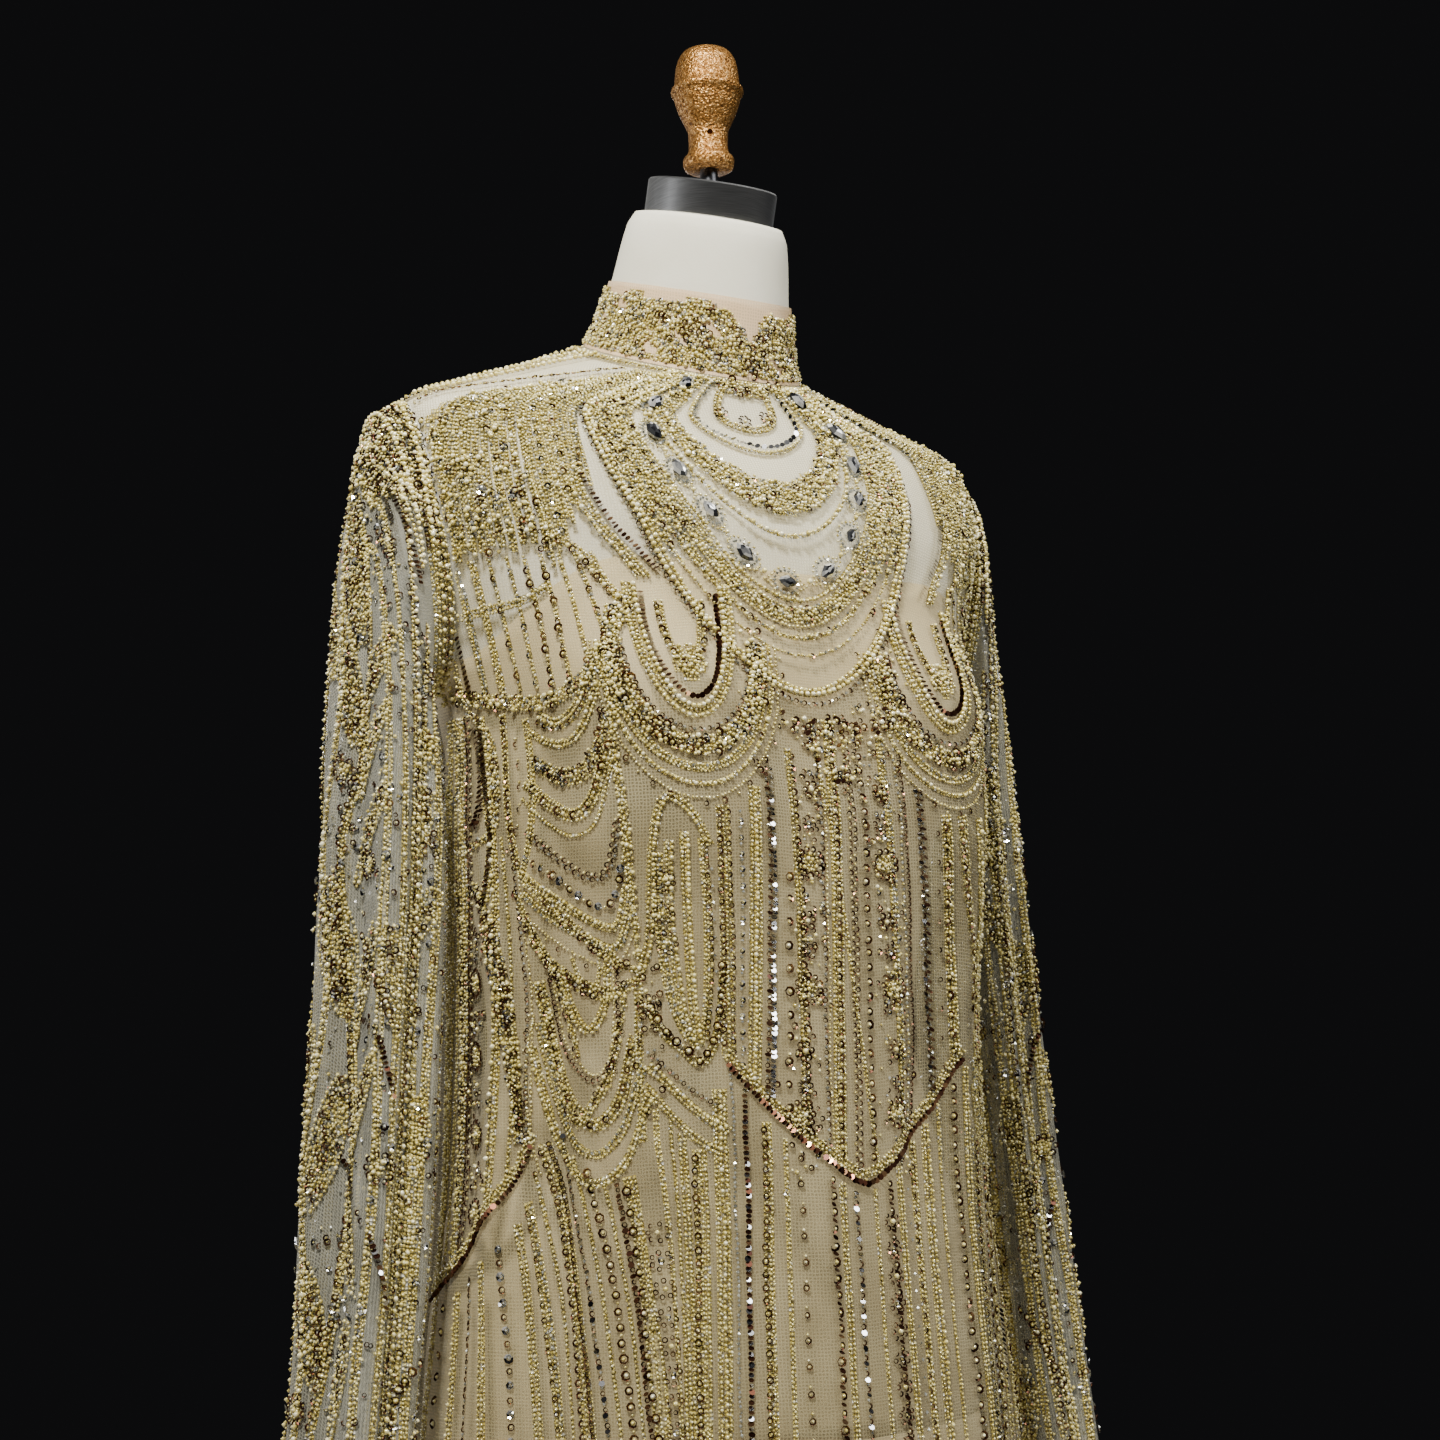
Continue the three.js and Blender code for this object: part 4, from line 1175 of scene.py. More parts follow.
def band(cloth, u, v, wide, letters, gap=2.2):
    """Fills a strip along a path with beads drawn from a bag."""
    u, v, wide = matched(u, v, wide)
    ground(cloth, u, v, wide)
    run = measured(cloth, u, v)
    rows = int(wide.max() / (HONEYCOMB * gap)) + 1
    steps = [honeycomb_row(row, run[-1], gap) for row in range(rows)]
    offs = [np.full(len(step), (row - (rows - 1) / 2) * HONEYCOMB * gap) for row, step in enumerate(steps)]
    along, off = np.concatenate(steps), np.concatenate(offs)
    along = along + rng.normal(0, SHAKEN * gap, len(along))
    off = off + rng.normal(0, 0.16 * gap, len(off))
    held = np.abs(off) < np.interp(along, run, wide) / 2 + SHAKEN * gap
    along, off = along[held], off[held]
    stitch(cloth, rng.choice(list(letters), len(along)), *beside(cloth, u, v, run, along, off))


def scatter(cloth, u, v, letters, keep, gap=2.2):
    """Covers a shape with beads drawn from a bag. The shape is the part of a rectangle that is kept."""
    patch(cloth, u, v, keep)
    around, up = np.linspace(*u, 60), np.linspace(*v, 40)
    run = measured(cloth, sum(u) / 2, up)
    at_u, at_v = [], []
    for number, row in enumerate(np.interp(np.arange(0.4 * gap, run[-1], HONEYCOMB * gap), run, up)):
        length = measured(cloth, around, row)
        steps = honeycomb_row(number, length[-1], gap)
        at_u.append(np.interp(steps, length, around))
        at_v.append(np.full(len(steps), row))
    at_u, at_v = np.concatenate(at_u), np.concatenate(at_v)
    per_u, per_v = metric(cloth, at_u, at_v)
    at_u = at_u + rng.normal(0, SHAKEN * gap, len(at_u)) / per_u
    at_v = at_v + rng.normal(0, SHAKEN * gap, len(at_v)) / per_v
    turn = rng.uniform(0, 2 * math.pi, len(at_u))
    held = keep(at_u, at_v)
    letters = rng.choice(list(letters), len(at_u))
    stitch(cloth, *(a[held] for a in (letters, at_u, at_v, np.cos(turn) / per_u, np.sin(turn) / per_v)))


print("rows of a filled shape are", HONEYCOMB, "of a gap apart")

# %% [markdown]
# Rosettes, round heaps of seeds, ovals and loose beads are sewn round one place each.

# %% Ornaments
def offset(cloth, u, v, x, y):
    """A place some millimetres across (x) and up (y) from another, on the cloth."""
    per_u, per_v = metric(cloth, u, v)
    return u + x / per_u, v + y / per_v


def single(cloth, letter, u, v):
    """Stitches that follow no thread."""
    stitch(cloth, letter, u, v, 0, 1)


def flower(cloth, u, v, petals, radius, petal, heart):
    """A rosette: a heart with petals round it."""
    turn = np.arange(petals) * 2 * math.pi / petals + rng.uniform(0, 1)
    at_u, at_v = offset(cloth, u, v, radius * np.cos(turn), radius * np.sin(turn))
    stitch(cloth, petal, at_u, at_v, at_u - u, at_v - v)
    single(cloth, heart, u, v)


def cluster(cloth, u, v, radius, letters, rim):
    """A round heap of seeds with cups all round it."""
    per_u, per_v = metric(cloth, u, v)
    span_u, span_v = radius / per_u, radius / per_v
    scatter(cloth, (u - span_u, u + span_u), (v - span_v, v + span_v), letters,
            lambda a, b: np.hypot((a - u) * per_u, (b - v) * per_v) < radius, 2.1)
    petals = round(2 * math.pi * (radius + 2) / STITCHES[rim][1])
    flower(cloth, u, v, petals, radius + 2, rim, "p")


def sprinkle(cloth, u, v, wide, high, letters, count):
    """A few loose beads strewn round a place."""
    x, y = rng.normal(0, wide / 2, count), rng.normal(0, high / 2, count)
    at_u, at_v = offset(cloth, u, v, x, y)
    single(cloth, rng.choice(list(letters), count), at_u, at_v)


def strew(cloth, u, v, letters, keep, apart):
    """Loose beads all over a shape, some millimetres apart."""
    per_u, per_v = metric(cloth, sum(u) / 2, sum(v) / 2)
    count = int((u[1] - u[0]) * per_u * (v[1] - v[0]) * per_v / apart**2)
    at_u, at_v = rng.uniform(*u, count), rng.uniform(*v, count)
    held = keep(at_u, at_v)
    single(cloth, rng.choice(list(letters), count)[held], at_u[held], at_v[held])


def oval(cloth, u, v, wide, high, repeat):
    """A thread sewn round in an oval, with its half sizes in millimetres."""
    turn = np.linspace(0, 2 * math.pi, 40)
    at_u, at_v = offset(cloth, u, v, wide * np.cos(turn), high * np.sin(turn))
    strand(cloth, at_u, at_v, repeat, wander=0.1)


def sewn_so_far():
    """How many times beads have been noted down."""
    return sum(map(len, sewn.values()))


print("ornaments: rosette, heap, oval, loose beads")

# %% [markdown]
# The yoke. Swags hang from the neck seam across the chest, one inside the other: fine seeds, pearls, a
# dense crescent, a line of cut crystals, and last a broad double line of pearls that reaches the bust.
# They are arcs of ellipses, a little to the wearer's right of the middle, as the net has settled. Three of
# them are filled bands, and two of these thin out in the middle.

# %% Swags on the chest
MIDDLE = -0.05
NECK = 1419


def arc(middle, half, top, low, start=-1.0, end=1.0, steps=70):
    """Part of a hanging arc, from one end (-1) to the other (1)."""
    t = np.linspace(start, end, steps) * math.pi / 2
    return middle + half * np.sin(t), top - (top - low) * np.cos(t)


def swag(low, half, start=-1.0, end=1.0, middle=MIDDLE):
    """An arc that hangs from the neck seam."""
    return arc(middle, half, NECK, low, start, end)


def in_swag(u, v, low, half):
    """Below one inside the arc."""
    return np.hypot((u - MIDDLE) / half, (NECK - v) / (NECK - low))


SWAGS = [
    # lowest height, half width (rad), threads side by side
    (1377, 0.155, "s sp"),
    (1361.5, 0.235, "lc"),
    (1357, 0.25, "p"),
    (1302, 0.365, "P-pP-P"),
    (1268, 0.425, "pps"),
    (1219.5, 0.57, "P pPp"),
    (1213.5, 0.59, "oc"),
]
for low, half, threads in SWAGS:
    strands("gown", *swag(low, half), threads, gap=2.7)
at_side = np.abs(np.linspace(-1, 1, 70))
band("gown", *swag(1260, 0.458), 8.0, "sssssspppoc")
strand("gown", *swag(1254, 0.478), "ssps", wander=0.2)
band("gown", *swag(1248, 0.507), 2.4 + 5.6 * smooth(0.3, 0.6, at_side), "sssssppoc")
band("gown", *swag(1238.5, 0.556), 1.0 + 7.2 * smooth(0.42, 0.66, at_side), "ssssssppdc")


def crescent(u, v):
    """The dense part between two swags."""
    return (in_swag(u, v, 1336, 0.285) > 1) & (in_swag(u, v, 1315, 0.355) < 1)


scatter("gown", (-0.42, 0.32), (1314, 1417), "ssssssssssppppPdwc", crescent, gap=2.3)
for u, v in ((-0.155, 1390), (-0.06, 1384), (0.03, 1390)):
    oval("gown", u, v, 3.0, 4.2, "o")
    single("gown", "p", u, v)
band("gown", *swag(1411, 0.2, -0.9, 0.9), 5.0, "ssspod")
print("sewn so far:", sewn_so_far())

# %% [markdown]
# Thirteen marquise crystals sit on their own swag. Each has two rows of seeds round it, drawn out to a point
# at both ends, with a pearl between it and the next. The four under the middle are a little rounder.

# %% Crystals
CRYSTALS, FIRST_AT, LAST_AFTER = 13, 0.035, 0.93  # parts of the swag's length
# length of the stone, then half sizes of the oval of seeds round it
LONG_CUT, ROUND_CUT = (13.0, 7.6, 5.2), (11.0, 6.9, 6.0)
ROUND_ONES = (6, 7, 8, 9)


def crystal(u, v, direction, cut):
    """One set crystal. The direction is that of the swag, in millimetres across and up."""
    x, y = direction / np.linalg.norm(direction)
    size, long, wide = cut
    ahead = np.array(offset("gown", u, v, x, y))
    sew("gown", "crystal", u, v, *(ahead - (u, v)), size, 0.9)
    turn = np.linspace(0, 2 * math.pi, 18, endpoint=False)
    for grow, glass in ((1, "clear_seed"), (1.3, "seed")):
        for along_it, across_it in zip(grow * long * np.cos(turn), grow * wide * np.sin(turn)):
            at = offset("gown", u, v, along_it * x - across_it * y, along_it * y + across_it * x)
            sew("gown", glass, *at, 0, 1, 2.1, 0.2)
    for tip in (-1, 1):
        for step, spread in ((10.4, 1.2), (10.4, -1.2), (12.2, 0)):
            at = offset("gown", u, v, tip * step * x - spread * y, tip * step * y + spread * x)
            sew("gown", "seed", *at, 0, 1, 2.0, 0.2)


path = swag(1277, 0.375)
run = measured("gown", *path)
for number in range(CRYSTALS):
    at = run[-1] * (FIRST_AT + LAST_AFTER * number / (CRYSTALS - 1))
    u, v = (np.interp(at, run, line) for line in path)
    ahead = [np.interp(at + 2, run, line) for line in path]
    per_u, per_v = metric("gown", u, v)
    direction = np.array([(ahead[0] - u) * per_u, (ahead[1] - v) * per_v])
    crystal(u, v, direction, ROUND_CUT if number in ROUND_ONES else LONG_CUT)
    if number < CRYSTALS - 1:
        at = at + run[-1] * LAST_AFTER / (2 * (CRYSTALS - 1))
        sew("gown", "pearl", *(np.interp(at, run, line) for line in path), 0, 1, 3.2, 0.2)
print("crystals:", CRYSTALS, "every", round(run[-1] * LAST_AFTER / (CRYSTALS - 1)), "mm")

# %% [markdown]
# Over each breast hang nested drops: a small loop of pearls with a heap of pearls in it, a line of dark
# sequins that overlap like scales, a thick pearl edge, a line of cups, a filled band and three scallops.

# %% Drops over the bust
def loop(middle, half, low, top=1243):
    """A narrow hanging arc."""
    return arc(middle, half, top, low, steps=50)


SCALLOPS = [
    # lowest height, half width (rad), threads side by side
    (1178, 0.25, "s ssc"),
    (1170, 0.275, "ps"),
    (1162, 0.305, "o_d_s_ s"),
]
for side, at in ((-1, -0.45), (1, 0.47)):
    strands("gown", *loop(at, 0.064, 1230, 1264), "pd s", gap=2.5)
    scatter("gown", (at - 0.07, at + 0.07), (1221, 1243), "pps",
            lambda u, v, at=at: np.hypot((u - at) / 0.052, (v - 1231) / 8.5) < 1, gap=2.5)
    strand("gown", *loop(at, 0.118, 1213, 1269), "k", wander=0.15)
    strands("gown", *loop(at, 0.152, 1206, 1274), "p s P", gap=2.5)
    strand("gown", *loop(at, 0.192, 1197), "oc", wander=0.15)
    band("gown", *loop(at, 0.222, 1189), 8.5, "ssssspppPDdw", gap=2.4)
    for low, half, threads in SCALLOPS:
        strands("gown", *loop(at, half, low), threads, gap=2.4)
    sprinkle("gown", at - side * 0.2, 1222, 10, 36, "sspPodc", 40)
    outer = at + side * 0.215
    path = curve((outer, 1262), (outer + 0.01 * side, 1240), (outer, 1205))
    band("gown", *path, 6.0, "sssspPdw", gap=2.3)
print("sewn so far:", sewn_so_far())

# %% [markdown]
# From the neck a sheaf of close threads runs down beside the swags, and a line of silver sequins turns into
# the long dark line of the yoke. The shoulders are covered solid, with one bare leaf left open on top.

# %% Shoulders
def shoulder(u, v):
    """The solid part of the yoke's shoulder."""
    a = np.abs(wrap(u))
    low = 1287 + 5 * np.abs(np.sin(a * 22))
    under_leaf = v < 1364 + 98 * (1.36 - a)
    dip = np.hypot((a - 1.34) / 0.12, (v - 1386) / 18) > 1
    return (a > 0.845) & (v > low) & under_leaf & dip & (a < 1.53 + 0.1 * (v < 1366))


SHEAF = ("s", "ssp", "s", "ssc", "s", "sssd", "s", "ps", "s", "ssw", "s", "psss", "s")
FAN = ("ss", "sps", "s", "ssc", "sp")
ON_TOP = ((1.46, "P"), (1.52, "s"), (1.60, "sp"), (1.66, "P"), (1.72, "sps"))
for side in (-1, 1):
    for number, repeat in enumerate(SHEAF):
        u = side * (0.652 + 0.0165 * number)
        low = 1326 - 3.6 * number + 7 * (number % 2)
        strands("gown", u, np.linspace(1415, low, 30), repeat, wander=0.2, under=2.3)
    for shift, repeat in ((0.02, "ps"), (0.036, "s"), (0.055, "sPs")):  # beside the long dark line
        path = curve((0.667 + shift * 0.4, 1340), (0.665 + shift, 1322), (0.63 + shift, 1304),
                     (0.565 + shift, 1290), (0.51 + shift, 1276), side=side)
        strands("gown", *path, repeat, wander=0.2, under=2.2)
    path = curve((0.86, 1300), (0.8, 1296), (0.74, 1288), (0.66, 1270), (0.6, 1262), side=side)
    strands("gown", *path, "sPd s", wander=0.6)
    path = curve((0.625, 1412), (0.64, 1382), (0.665, 1352), side=side)
    strand("gown", *path, "lc", wander=0.1)
    path = curve((0.665, 1350), (0.675, 1331), (0.63, 1307), (0.56, 1292), (0.5, 1279), side=side)
    strand("gown", *path, "k", wander=0.1)
    sides = sorted((0.83 * side, 1.64 * side))
    patch("gown", sides, (1286, 1416), lambda u, v: shoulder(u, v) & (np.abs(wrap(u)) > 1.2))
    for number in range(15):  # rows that fan out from the neck
        start, foot = 0.84 + 0.034 * number, 0.86 + 0.044 * number
        top = min(1413, 1361 + 98 * (1.36 - start)) if start < 1.2 else 1362 - 16 * (start - 1.2)
        low = 1291 + 5 * abs(math.sin(foot * 22))
        fan = np.linspace(0, 1, 40)
        path = side * (start + (foot - start) * fan**0.8), top + (low - top) * fan
        strands("gown", *path, FAN[number % 5] + " s", gap=2.2, under=4.4)
    strew("gown", sides, (1300, 1414), "PPPPpwWdooc", shoulder, 4.6)
    strew("gown", sides, (1286, 1330), "dDdowpP", shoulder, 6.5)
    for u, repeat in ON_TOP:
        strand("gown", u * side, np.linspace(1420, 1384, 40), repeat, wander=0.1)
    path = curve((0.93, 1415), (1.1, 1405), (1.24, 1394), (1.36, 1386), (1.46, 1376), side=side)
    strands("gown", *path, "s sod", gap=2.0, wander=0.6)
print("sewn so far:", sewn_so_far())

# %% [markdown]
# Below the shoulder single threads hang to a scalloped band. Under the band, on each side of the waist,
# swags lie one under another, most of them drawn down towards the front. The heavy ones are bands of rings.

# %% Sides of the body
HANGING = [
    # turn at the top, turn at the foot, threads
    (1.57, 1.57, "sP s"), (1.5, 1.5, "sp Ps"), (1.43, 1.43, "sp s"), (1.36, 1.36, "k"),
    (1.275, 1.27, "ss c"), (1.19, 1.17, "sssp s"), (1.11, 1.075, "ssssdcs"),
    (1.03, 0.985, "ssswss"), (0.96, 0.905, "sssdsD"), (0.895, 0.825, "sssoD"), (0.83, 0.75, "ssp"),
    (0.77, 0.68, "sssdc"), (0.715, 0.60, "ssps"),
]
FESTOONS = [
    # threads, and the places they hang through
    ("oc ps s", ((1.0, 1208), (0.9, 1203), (0.8, 1213), (0.72, 1238))),
    ("s sps", ((1.05, 1201), (0.93, 1193), (0.82, 1197), (0.725, 1222))),
    ("ss psD s", ((1.08, 1176), (0.96, 1163), (0.86, 1157), (0.78, 1166), (0.71, 1192))),
    ("s", ((1.1, 1168), (0.98, 1154), (0.87, 1147), (0.78, 1154), (0.71, 1180))),
    ("oc so", ((1.08, 1152), (0.96, 1139), (0.83, 1127), (0.755, 1130), (0.71, 1154))),
    ("WsD", ((1.1, 1140), (0.96, 1127), (0.84, 1115), (0.76, 1114), (0.705, 1136))),
    ("s ps", ((1.12, 1131), (0.97, 1117), (0.83, 1105), (0.745, 1103), (0.7, 1124))),
    ("sc ss", ((1.12, 1121), (0.98, 1107), (0.84, 1096), (0.75, 1093), (0.695, 1112))),
    ("s_o_ s", ((1.12, 1110), (0.99, 1096), (0.86, 1085), (0.76, 1082), (0.69, 1098))),
    ("s psd s", ((1.07, 1078), (1.02, 1042), (0.94, 1018), (0.86, 1008), (0.77, 1020), (0.71, 1050))),
    ("o s", ((1.02, 1080), (0.98, 1052), (0.92, 1038), (0.855, 1030), (0.79, 1042), (0.76, 1082))),
    ("sps s", ((0.97, 1084), (0.93, 1064), (0.87, 1053), (0.81, 1066), (0.79, 1086))),
    ("s", ((0.92, 1088), (0.89, 1076), (0.86, 1072), (0.83, 1078), (0.82, 1090))),
    ("s sc", ((1.08, 1058), (1.0, 1014), (0.88, 994), (0.77, 1004), (0.68, 1036))),
    ("ps s", ((1.1, 1046), (1.01, 1000), (0.88, 981), (0.76, 990), (0.66, 1022))),
    ("lw", ((1.53, 1215), (1.489, 1203), (1.454, 1191), (1.468, 1180), (1.52, 1168))),
    ("k ko", ((1.37, 1208), (1.335, 1195), (1.321, 1178), (1.335, 1163), (1.37, 1156))),
    ("s sd", ((1.194, 1212), (1.187, 1188), (1.173, 1160), (1.137, 1133))),
    ("so_", ((1.13, 1199), (1.109, 1176), (1.123, 1155), (1.2, 1139), (1.278, 1129), (1.4, 1123))),
    ("s s", ((1.07, 1208), (1.05, 1186), (1.045, 1164), (1.07, 1146), (1.12, 1130))),
    ("s_o_ s", ((1.1, 1062), (1.13, 1040), (1.12, 1010), (1.08, 985))),
]
HEAVY = [
    # width (mm), letters, and the places they hang through
    (9.0, "ssssspoodckw", ((1.04, 1187), (0.95, 1179), (0.84, 1176), (0.77, 1184), (0.71, 1207))),
    (7.0, "sssssspod", ((1.1, 1098), (0.99, 1084), (0.88, 1074), (0.77, 1070), (0.67, 1080))),
    (5.0, "ssssspo", ((1.05, 1068), (1.0, 1030), (0.93, 1010), (0.865, 1018), (0.80, 1034), (0.735, 1070))),
    (4.0, "ssssp", ((0.7, 1240), (0.7, 1200), (0.69, 1160), (0.69, 1120), (0.685, 1078))),
    (6.0, "ssssspoc", ((1.41, 1217), (1.3, 1205), (1.25, 1188), (1.243, 1166), (1.278, 1152), (1.45, 1144))),
    (9.0, "sssppoodw",
     ((1.37, 1128), (1.285, 1110), (1.25, 1096), (1.205, 1070), (1.17, 1035), (1.15, 1000))),
    (6.0, "ssspoow", ((1.5, 1130), (1.46, 1103), (1.445, 1078), (1.45, 1020), (1.47, 960))),
    (5.0, "ssssspd", ((1.137, 1131), (1.018, 1117), (0.891, 1101), (0.757, 1086), (0.68, 1080))),
    (5.0, "sssssod", ((1.16, 1123), (1.109, 1108), (1.039, 1090), (0.968, 1072), (0.91, 1040))),
]
DROP = [
    # the long pointed drop between the festoons and the stomacher, on the right side only
    ("sp s", (-0.68, 1080), (-0.65, 1094), (-0.635, 1114), (-0.615, 1139), (-0.585, 1158), (-0.55, 1164),
     (-0.49, 1156), (-0.445, 1140)),
    ("s Ds", (-0.67, 1066), (-0.62, 1051), (-0.56, 1043), (-0.505, 1036), (-0.46, 1046), (-0.435, 1062),
     (-0.42, 1084)),
    ("s sc", (-0.6, 1137), (-0.612, 1107), (-0.605, 1082), (-0.58, 1062), (-0.54, 1048)),
    ("s sp", (-0.565, 1143), (-0.578, 1107), (-0.572, 1082), (-0.55, 1058), (-0.52, 1043)),
    ("ss p", (-0.52, 1147), (-0.527, 1107), (-0.525, 1069), (-0.505, 1044)),
    ("s so", (-0.468, 1144), (-0.465, 1107), (-0.475, 1069), (-0.492, 1047)),
    ("co", (-0.67, 1043), (-0.59, 1031), (-0.52, 1022), (-0.44, 1014)),
    ("s sp", (-0.67, 1036), (-0.575, 1021), (-0.49, 1010), (-0.42, 1004)),
    ("s s", (-0.68, 1027), (-0.6, 1011), (-0.52, 1000), (-0.45, 994)),
    ("s s", (-0.69, 1078), (-0.695, 1040), (-0.69, 1000)),
]
for threads, *places in DROP:
    strands("gown", *curve(*places), threads)
for u, v in ((-0.59, 1124), (-0.6, 1108), (-0.595, 1094), (-0.66, 1064)):
    cluster("gown", u, v, 2.6, "scsp", "o")
sprinkle("gown", -0.66, 1058, 9, 34, "sspodc", 40)
for side in (-1, 1):
    for top, foot, threads in HANGING:
        low = 1222 if top > 0.86 else 1228 + (0.86 - top) * 130
        strands("gown", side * np.linspace(top, foot, 30), np.linspace(1290, low, 30), threads)
    path = curve((1.42, 1262), (1.2, 1264), (1.0, 1267), (0.88, 1274), side=side)
    strands("gown", *path, "s sps", wander=0.8)
    path = curve((1.46, 1224), (1.15, 1217), (0.95, 1215), (0.8, 1222), (0.7, 1238), (0.63, 1260), side=side)
    band("gown", *path, 8.0, "ssssppPdbc", gap=2.3)
    for threads, places in FESTOONS:
        strands("gown", *curve(*places, side=side), threads)
    for wide, letters, places in HEAVY:
        path = curve(*places, side=side)
        taper = 0.35 + 0.65 * np.sin(np.linspace(0.15, math.pi - 0.15, len(path[0])))
        band("gown", *path, wide * taper, letters)
print("sewn so far:", sewn_so_far())

# %% [markdown]
# The stomacher is the long pointed panel down the front: upright threads, two columns of flowers, and a
# pointed border of gold seeds and dark sequins at its foot.

# %% Stomacher
STOMACHER_MIDDLE = 0.045
STOMACHER_HALF = 0.47


def point_of(u):
    """The height of the stomacher's pointed foot."""
    return 977 + 60 * (np.abs(u - STOMACHER_MIDDLE) / STOMACHER_HALF) ** 1.35


STOMACHER = [
    # turn at the top and at the foot, height of the top, threads
    (-0.40, -0.415, 1160, "sd ss so"), (-0.345, -0.375, 1158, "c-w"),
    (-0.29, -0.335, 1170, "s p s"), (-0.235, -0.285, 1180, "okc l"),
    (-0.19, -0.225, 1128, "D_"), (-0.03, -0.085, 1206, "oc s"), (0.025, -0.045, 1206, "ss pd s"),
    (0.085, 0.02, 1206, "so os"), (0.13, 0.075, 1204, "D-"), (0.262, 0.275, 1190, "sc o"),
    (0.325, 0.37, 1172, "lco kc"), (0.385, 0.435, 1166, "o__"), (0.43, 0.49, 1160, "ssD sps s"),
    (-0.45, -0.44, 1130, "c_"),
    (-0.05, 0.1, 1206, "s"), (0.21, 0.235, 1198, "s sc"), (-0.15, -0.16, 1190, "s sd"),
]
for top, foot, height, threads in STOMACHER:
    path_u = np.linspace(top, foot, 60)
    path_v = np.linspace(height, float(point_of(foot)) + 5, 60)
    strands("gown", path_u, path_v, threads, gap=2.4)
for u, foot, threads in ((0.50, 0.62, "sD sp s"), (0.60, 0.78, "s Ps s")):
    strands("gown", np.linspace(u, foot, 50), np.linspace(1160, 1060, 50), threads, gap=2.4)


def under_swag(u, v):
    """The place right under the broad double swag, where cups and pearls are strewn."""
    return (in_swag(u, v, 1206, 0.6) > 1) & (v > 1168 + 160 * np.abs(u - 0.05)) & (np.abs(u) < 0.3)


strew("gown", (-0.3, 0.3), (1165, 1215), "sspppPodoDwck", under_swag, 3.1)
FLOWER_HEIGHTS = (1184, 1169, 1152, 1133, 1118, 1104, 1089, 1071, 1056, 1041, 1024, 1010, 996)
for lean, middle in ((-0.05, -0.085), (0.01, 0.182)):
    for number, v in enumerate(FLOWER_HEIGHTS):
        u = middle + lean * (1170 - v) / 85 + 0.008 * math.sin(number * 2.1)
        kind = number % 4
        if kind == 1:
            flower("gown", u, v, 6, 3.6, "d", "P")
        elif kind == 2:
            flower("gown", u, v, 7, 3.2, "o", "w")
        elif kind == 3:
            cluster("gown", u, v, 4.6, "sssp", "d")
        sprinkle("gown", u, v - 7, 11, 9, "ssppoodcw", 12)


def border(u, foot, up):
    """A band of gold seeds with a line of dark sequins along its foot."""
    band("gown", u, foot + up, 5.0, "sssb")
    strand("gown", u, foot - 0.6, "k", wander=0.1)


across_foot = np.linspace(-0.425, 0.515, 90)
border(across_foot, point_of(across_foot), 4.0)
print("sewn so far:", sewn_so_far())

# %% [markdown]
# Beside the stomacher, under the sleeves, a narrower panel of upright threads hangs on each side, with a
# column of small heaps down its middle and a border that falls away to the side seam.

# %% Side panels
SIDE_PANEL = [
    # turn at the top and at the foot, threads
    (1.16, 1.12, "oc s"), (1.215, 1.19, "s"), (1.26, 1.26, "sPs s"), (1.41, 1.43, "o so"),
    (1.46, 1.48, "ssp s sc"), (1.51, 1.54, "ss"), (1.56, 1.59, "pss s"),
]
for side in (-1, 1):
    foot_u, foot_v = curve((1.1, 1000), (1.17, 980), (1.28, 962), (1.42, 942), (1.62, 922))
    border(foot_u * side, foot_v, 4.5)
    bow = 0.03 * np.sin(np.linspace(0, math.pi, 50))
    for u, foot, threads in SIDE_PANEL:
        v = np.linspace(1214 if u > 1.3 else 1150, np.interp(foot, foot_u, foot_v) + 5, 50)
        strands("gown", side * (np.linspace(u, foot, 50) - bow), v, threads, gap=2.5)
    path = curve((1.33, 1212), (1.30, 1180), (1.27, 1150), (1.30, 1118), side=side)
    strands("gown", *path, "s k ps", gap=2.5)
    for number, v in enumerate((1096, 1078, 1060, 1042, 1022, 1004, 985, 966)):
        if number % 2:
            cluster("gown", side * 1.335, v, 4.6, "sssp", "o")
        else:
            sprinkle("gown", side * 1.335, v, 11, 8, "oodpcws", 22)
print("sewn so far:", sewn_so_far())

# %% [markdown]
# Down the whole skirt hang long threads, about a centimetre apart at the hip. Near the sides they lean in
# towards the front. Each is one of a few repeats: dark rings, gold seeds, silver and dark scales, flowers.
# Far down, where the skirt is wide and plain, the seeds are sewn further apart.

# %% Threads of the skirt
def leaning(u, v):
    """The turn of a hanging thread that starts at u."""
    a = np.abs(u)
    weight = smooth(0.45, 0.95, a) * (1 - smooth(1.15, 1.6, a))
    drop = np.maximum(0, 1000 - v)
    return u - np.sign(u) * weight * 0.34 * (1 - np.exp(-drop / 150))


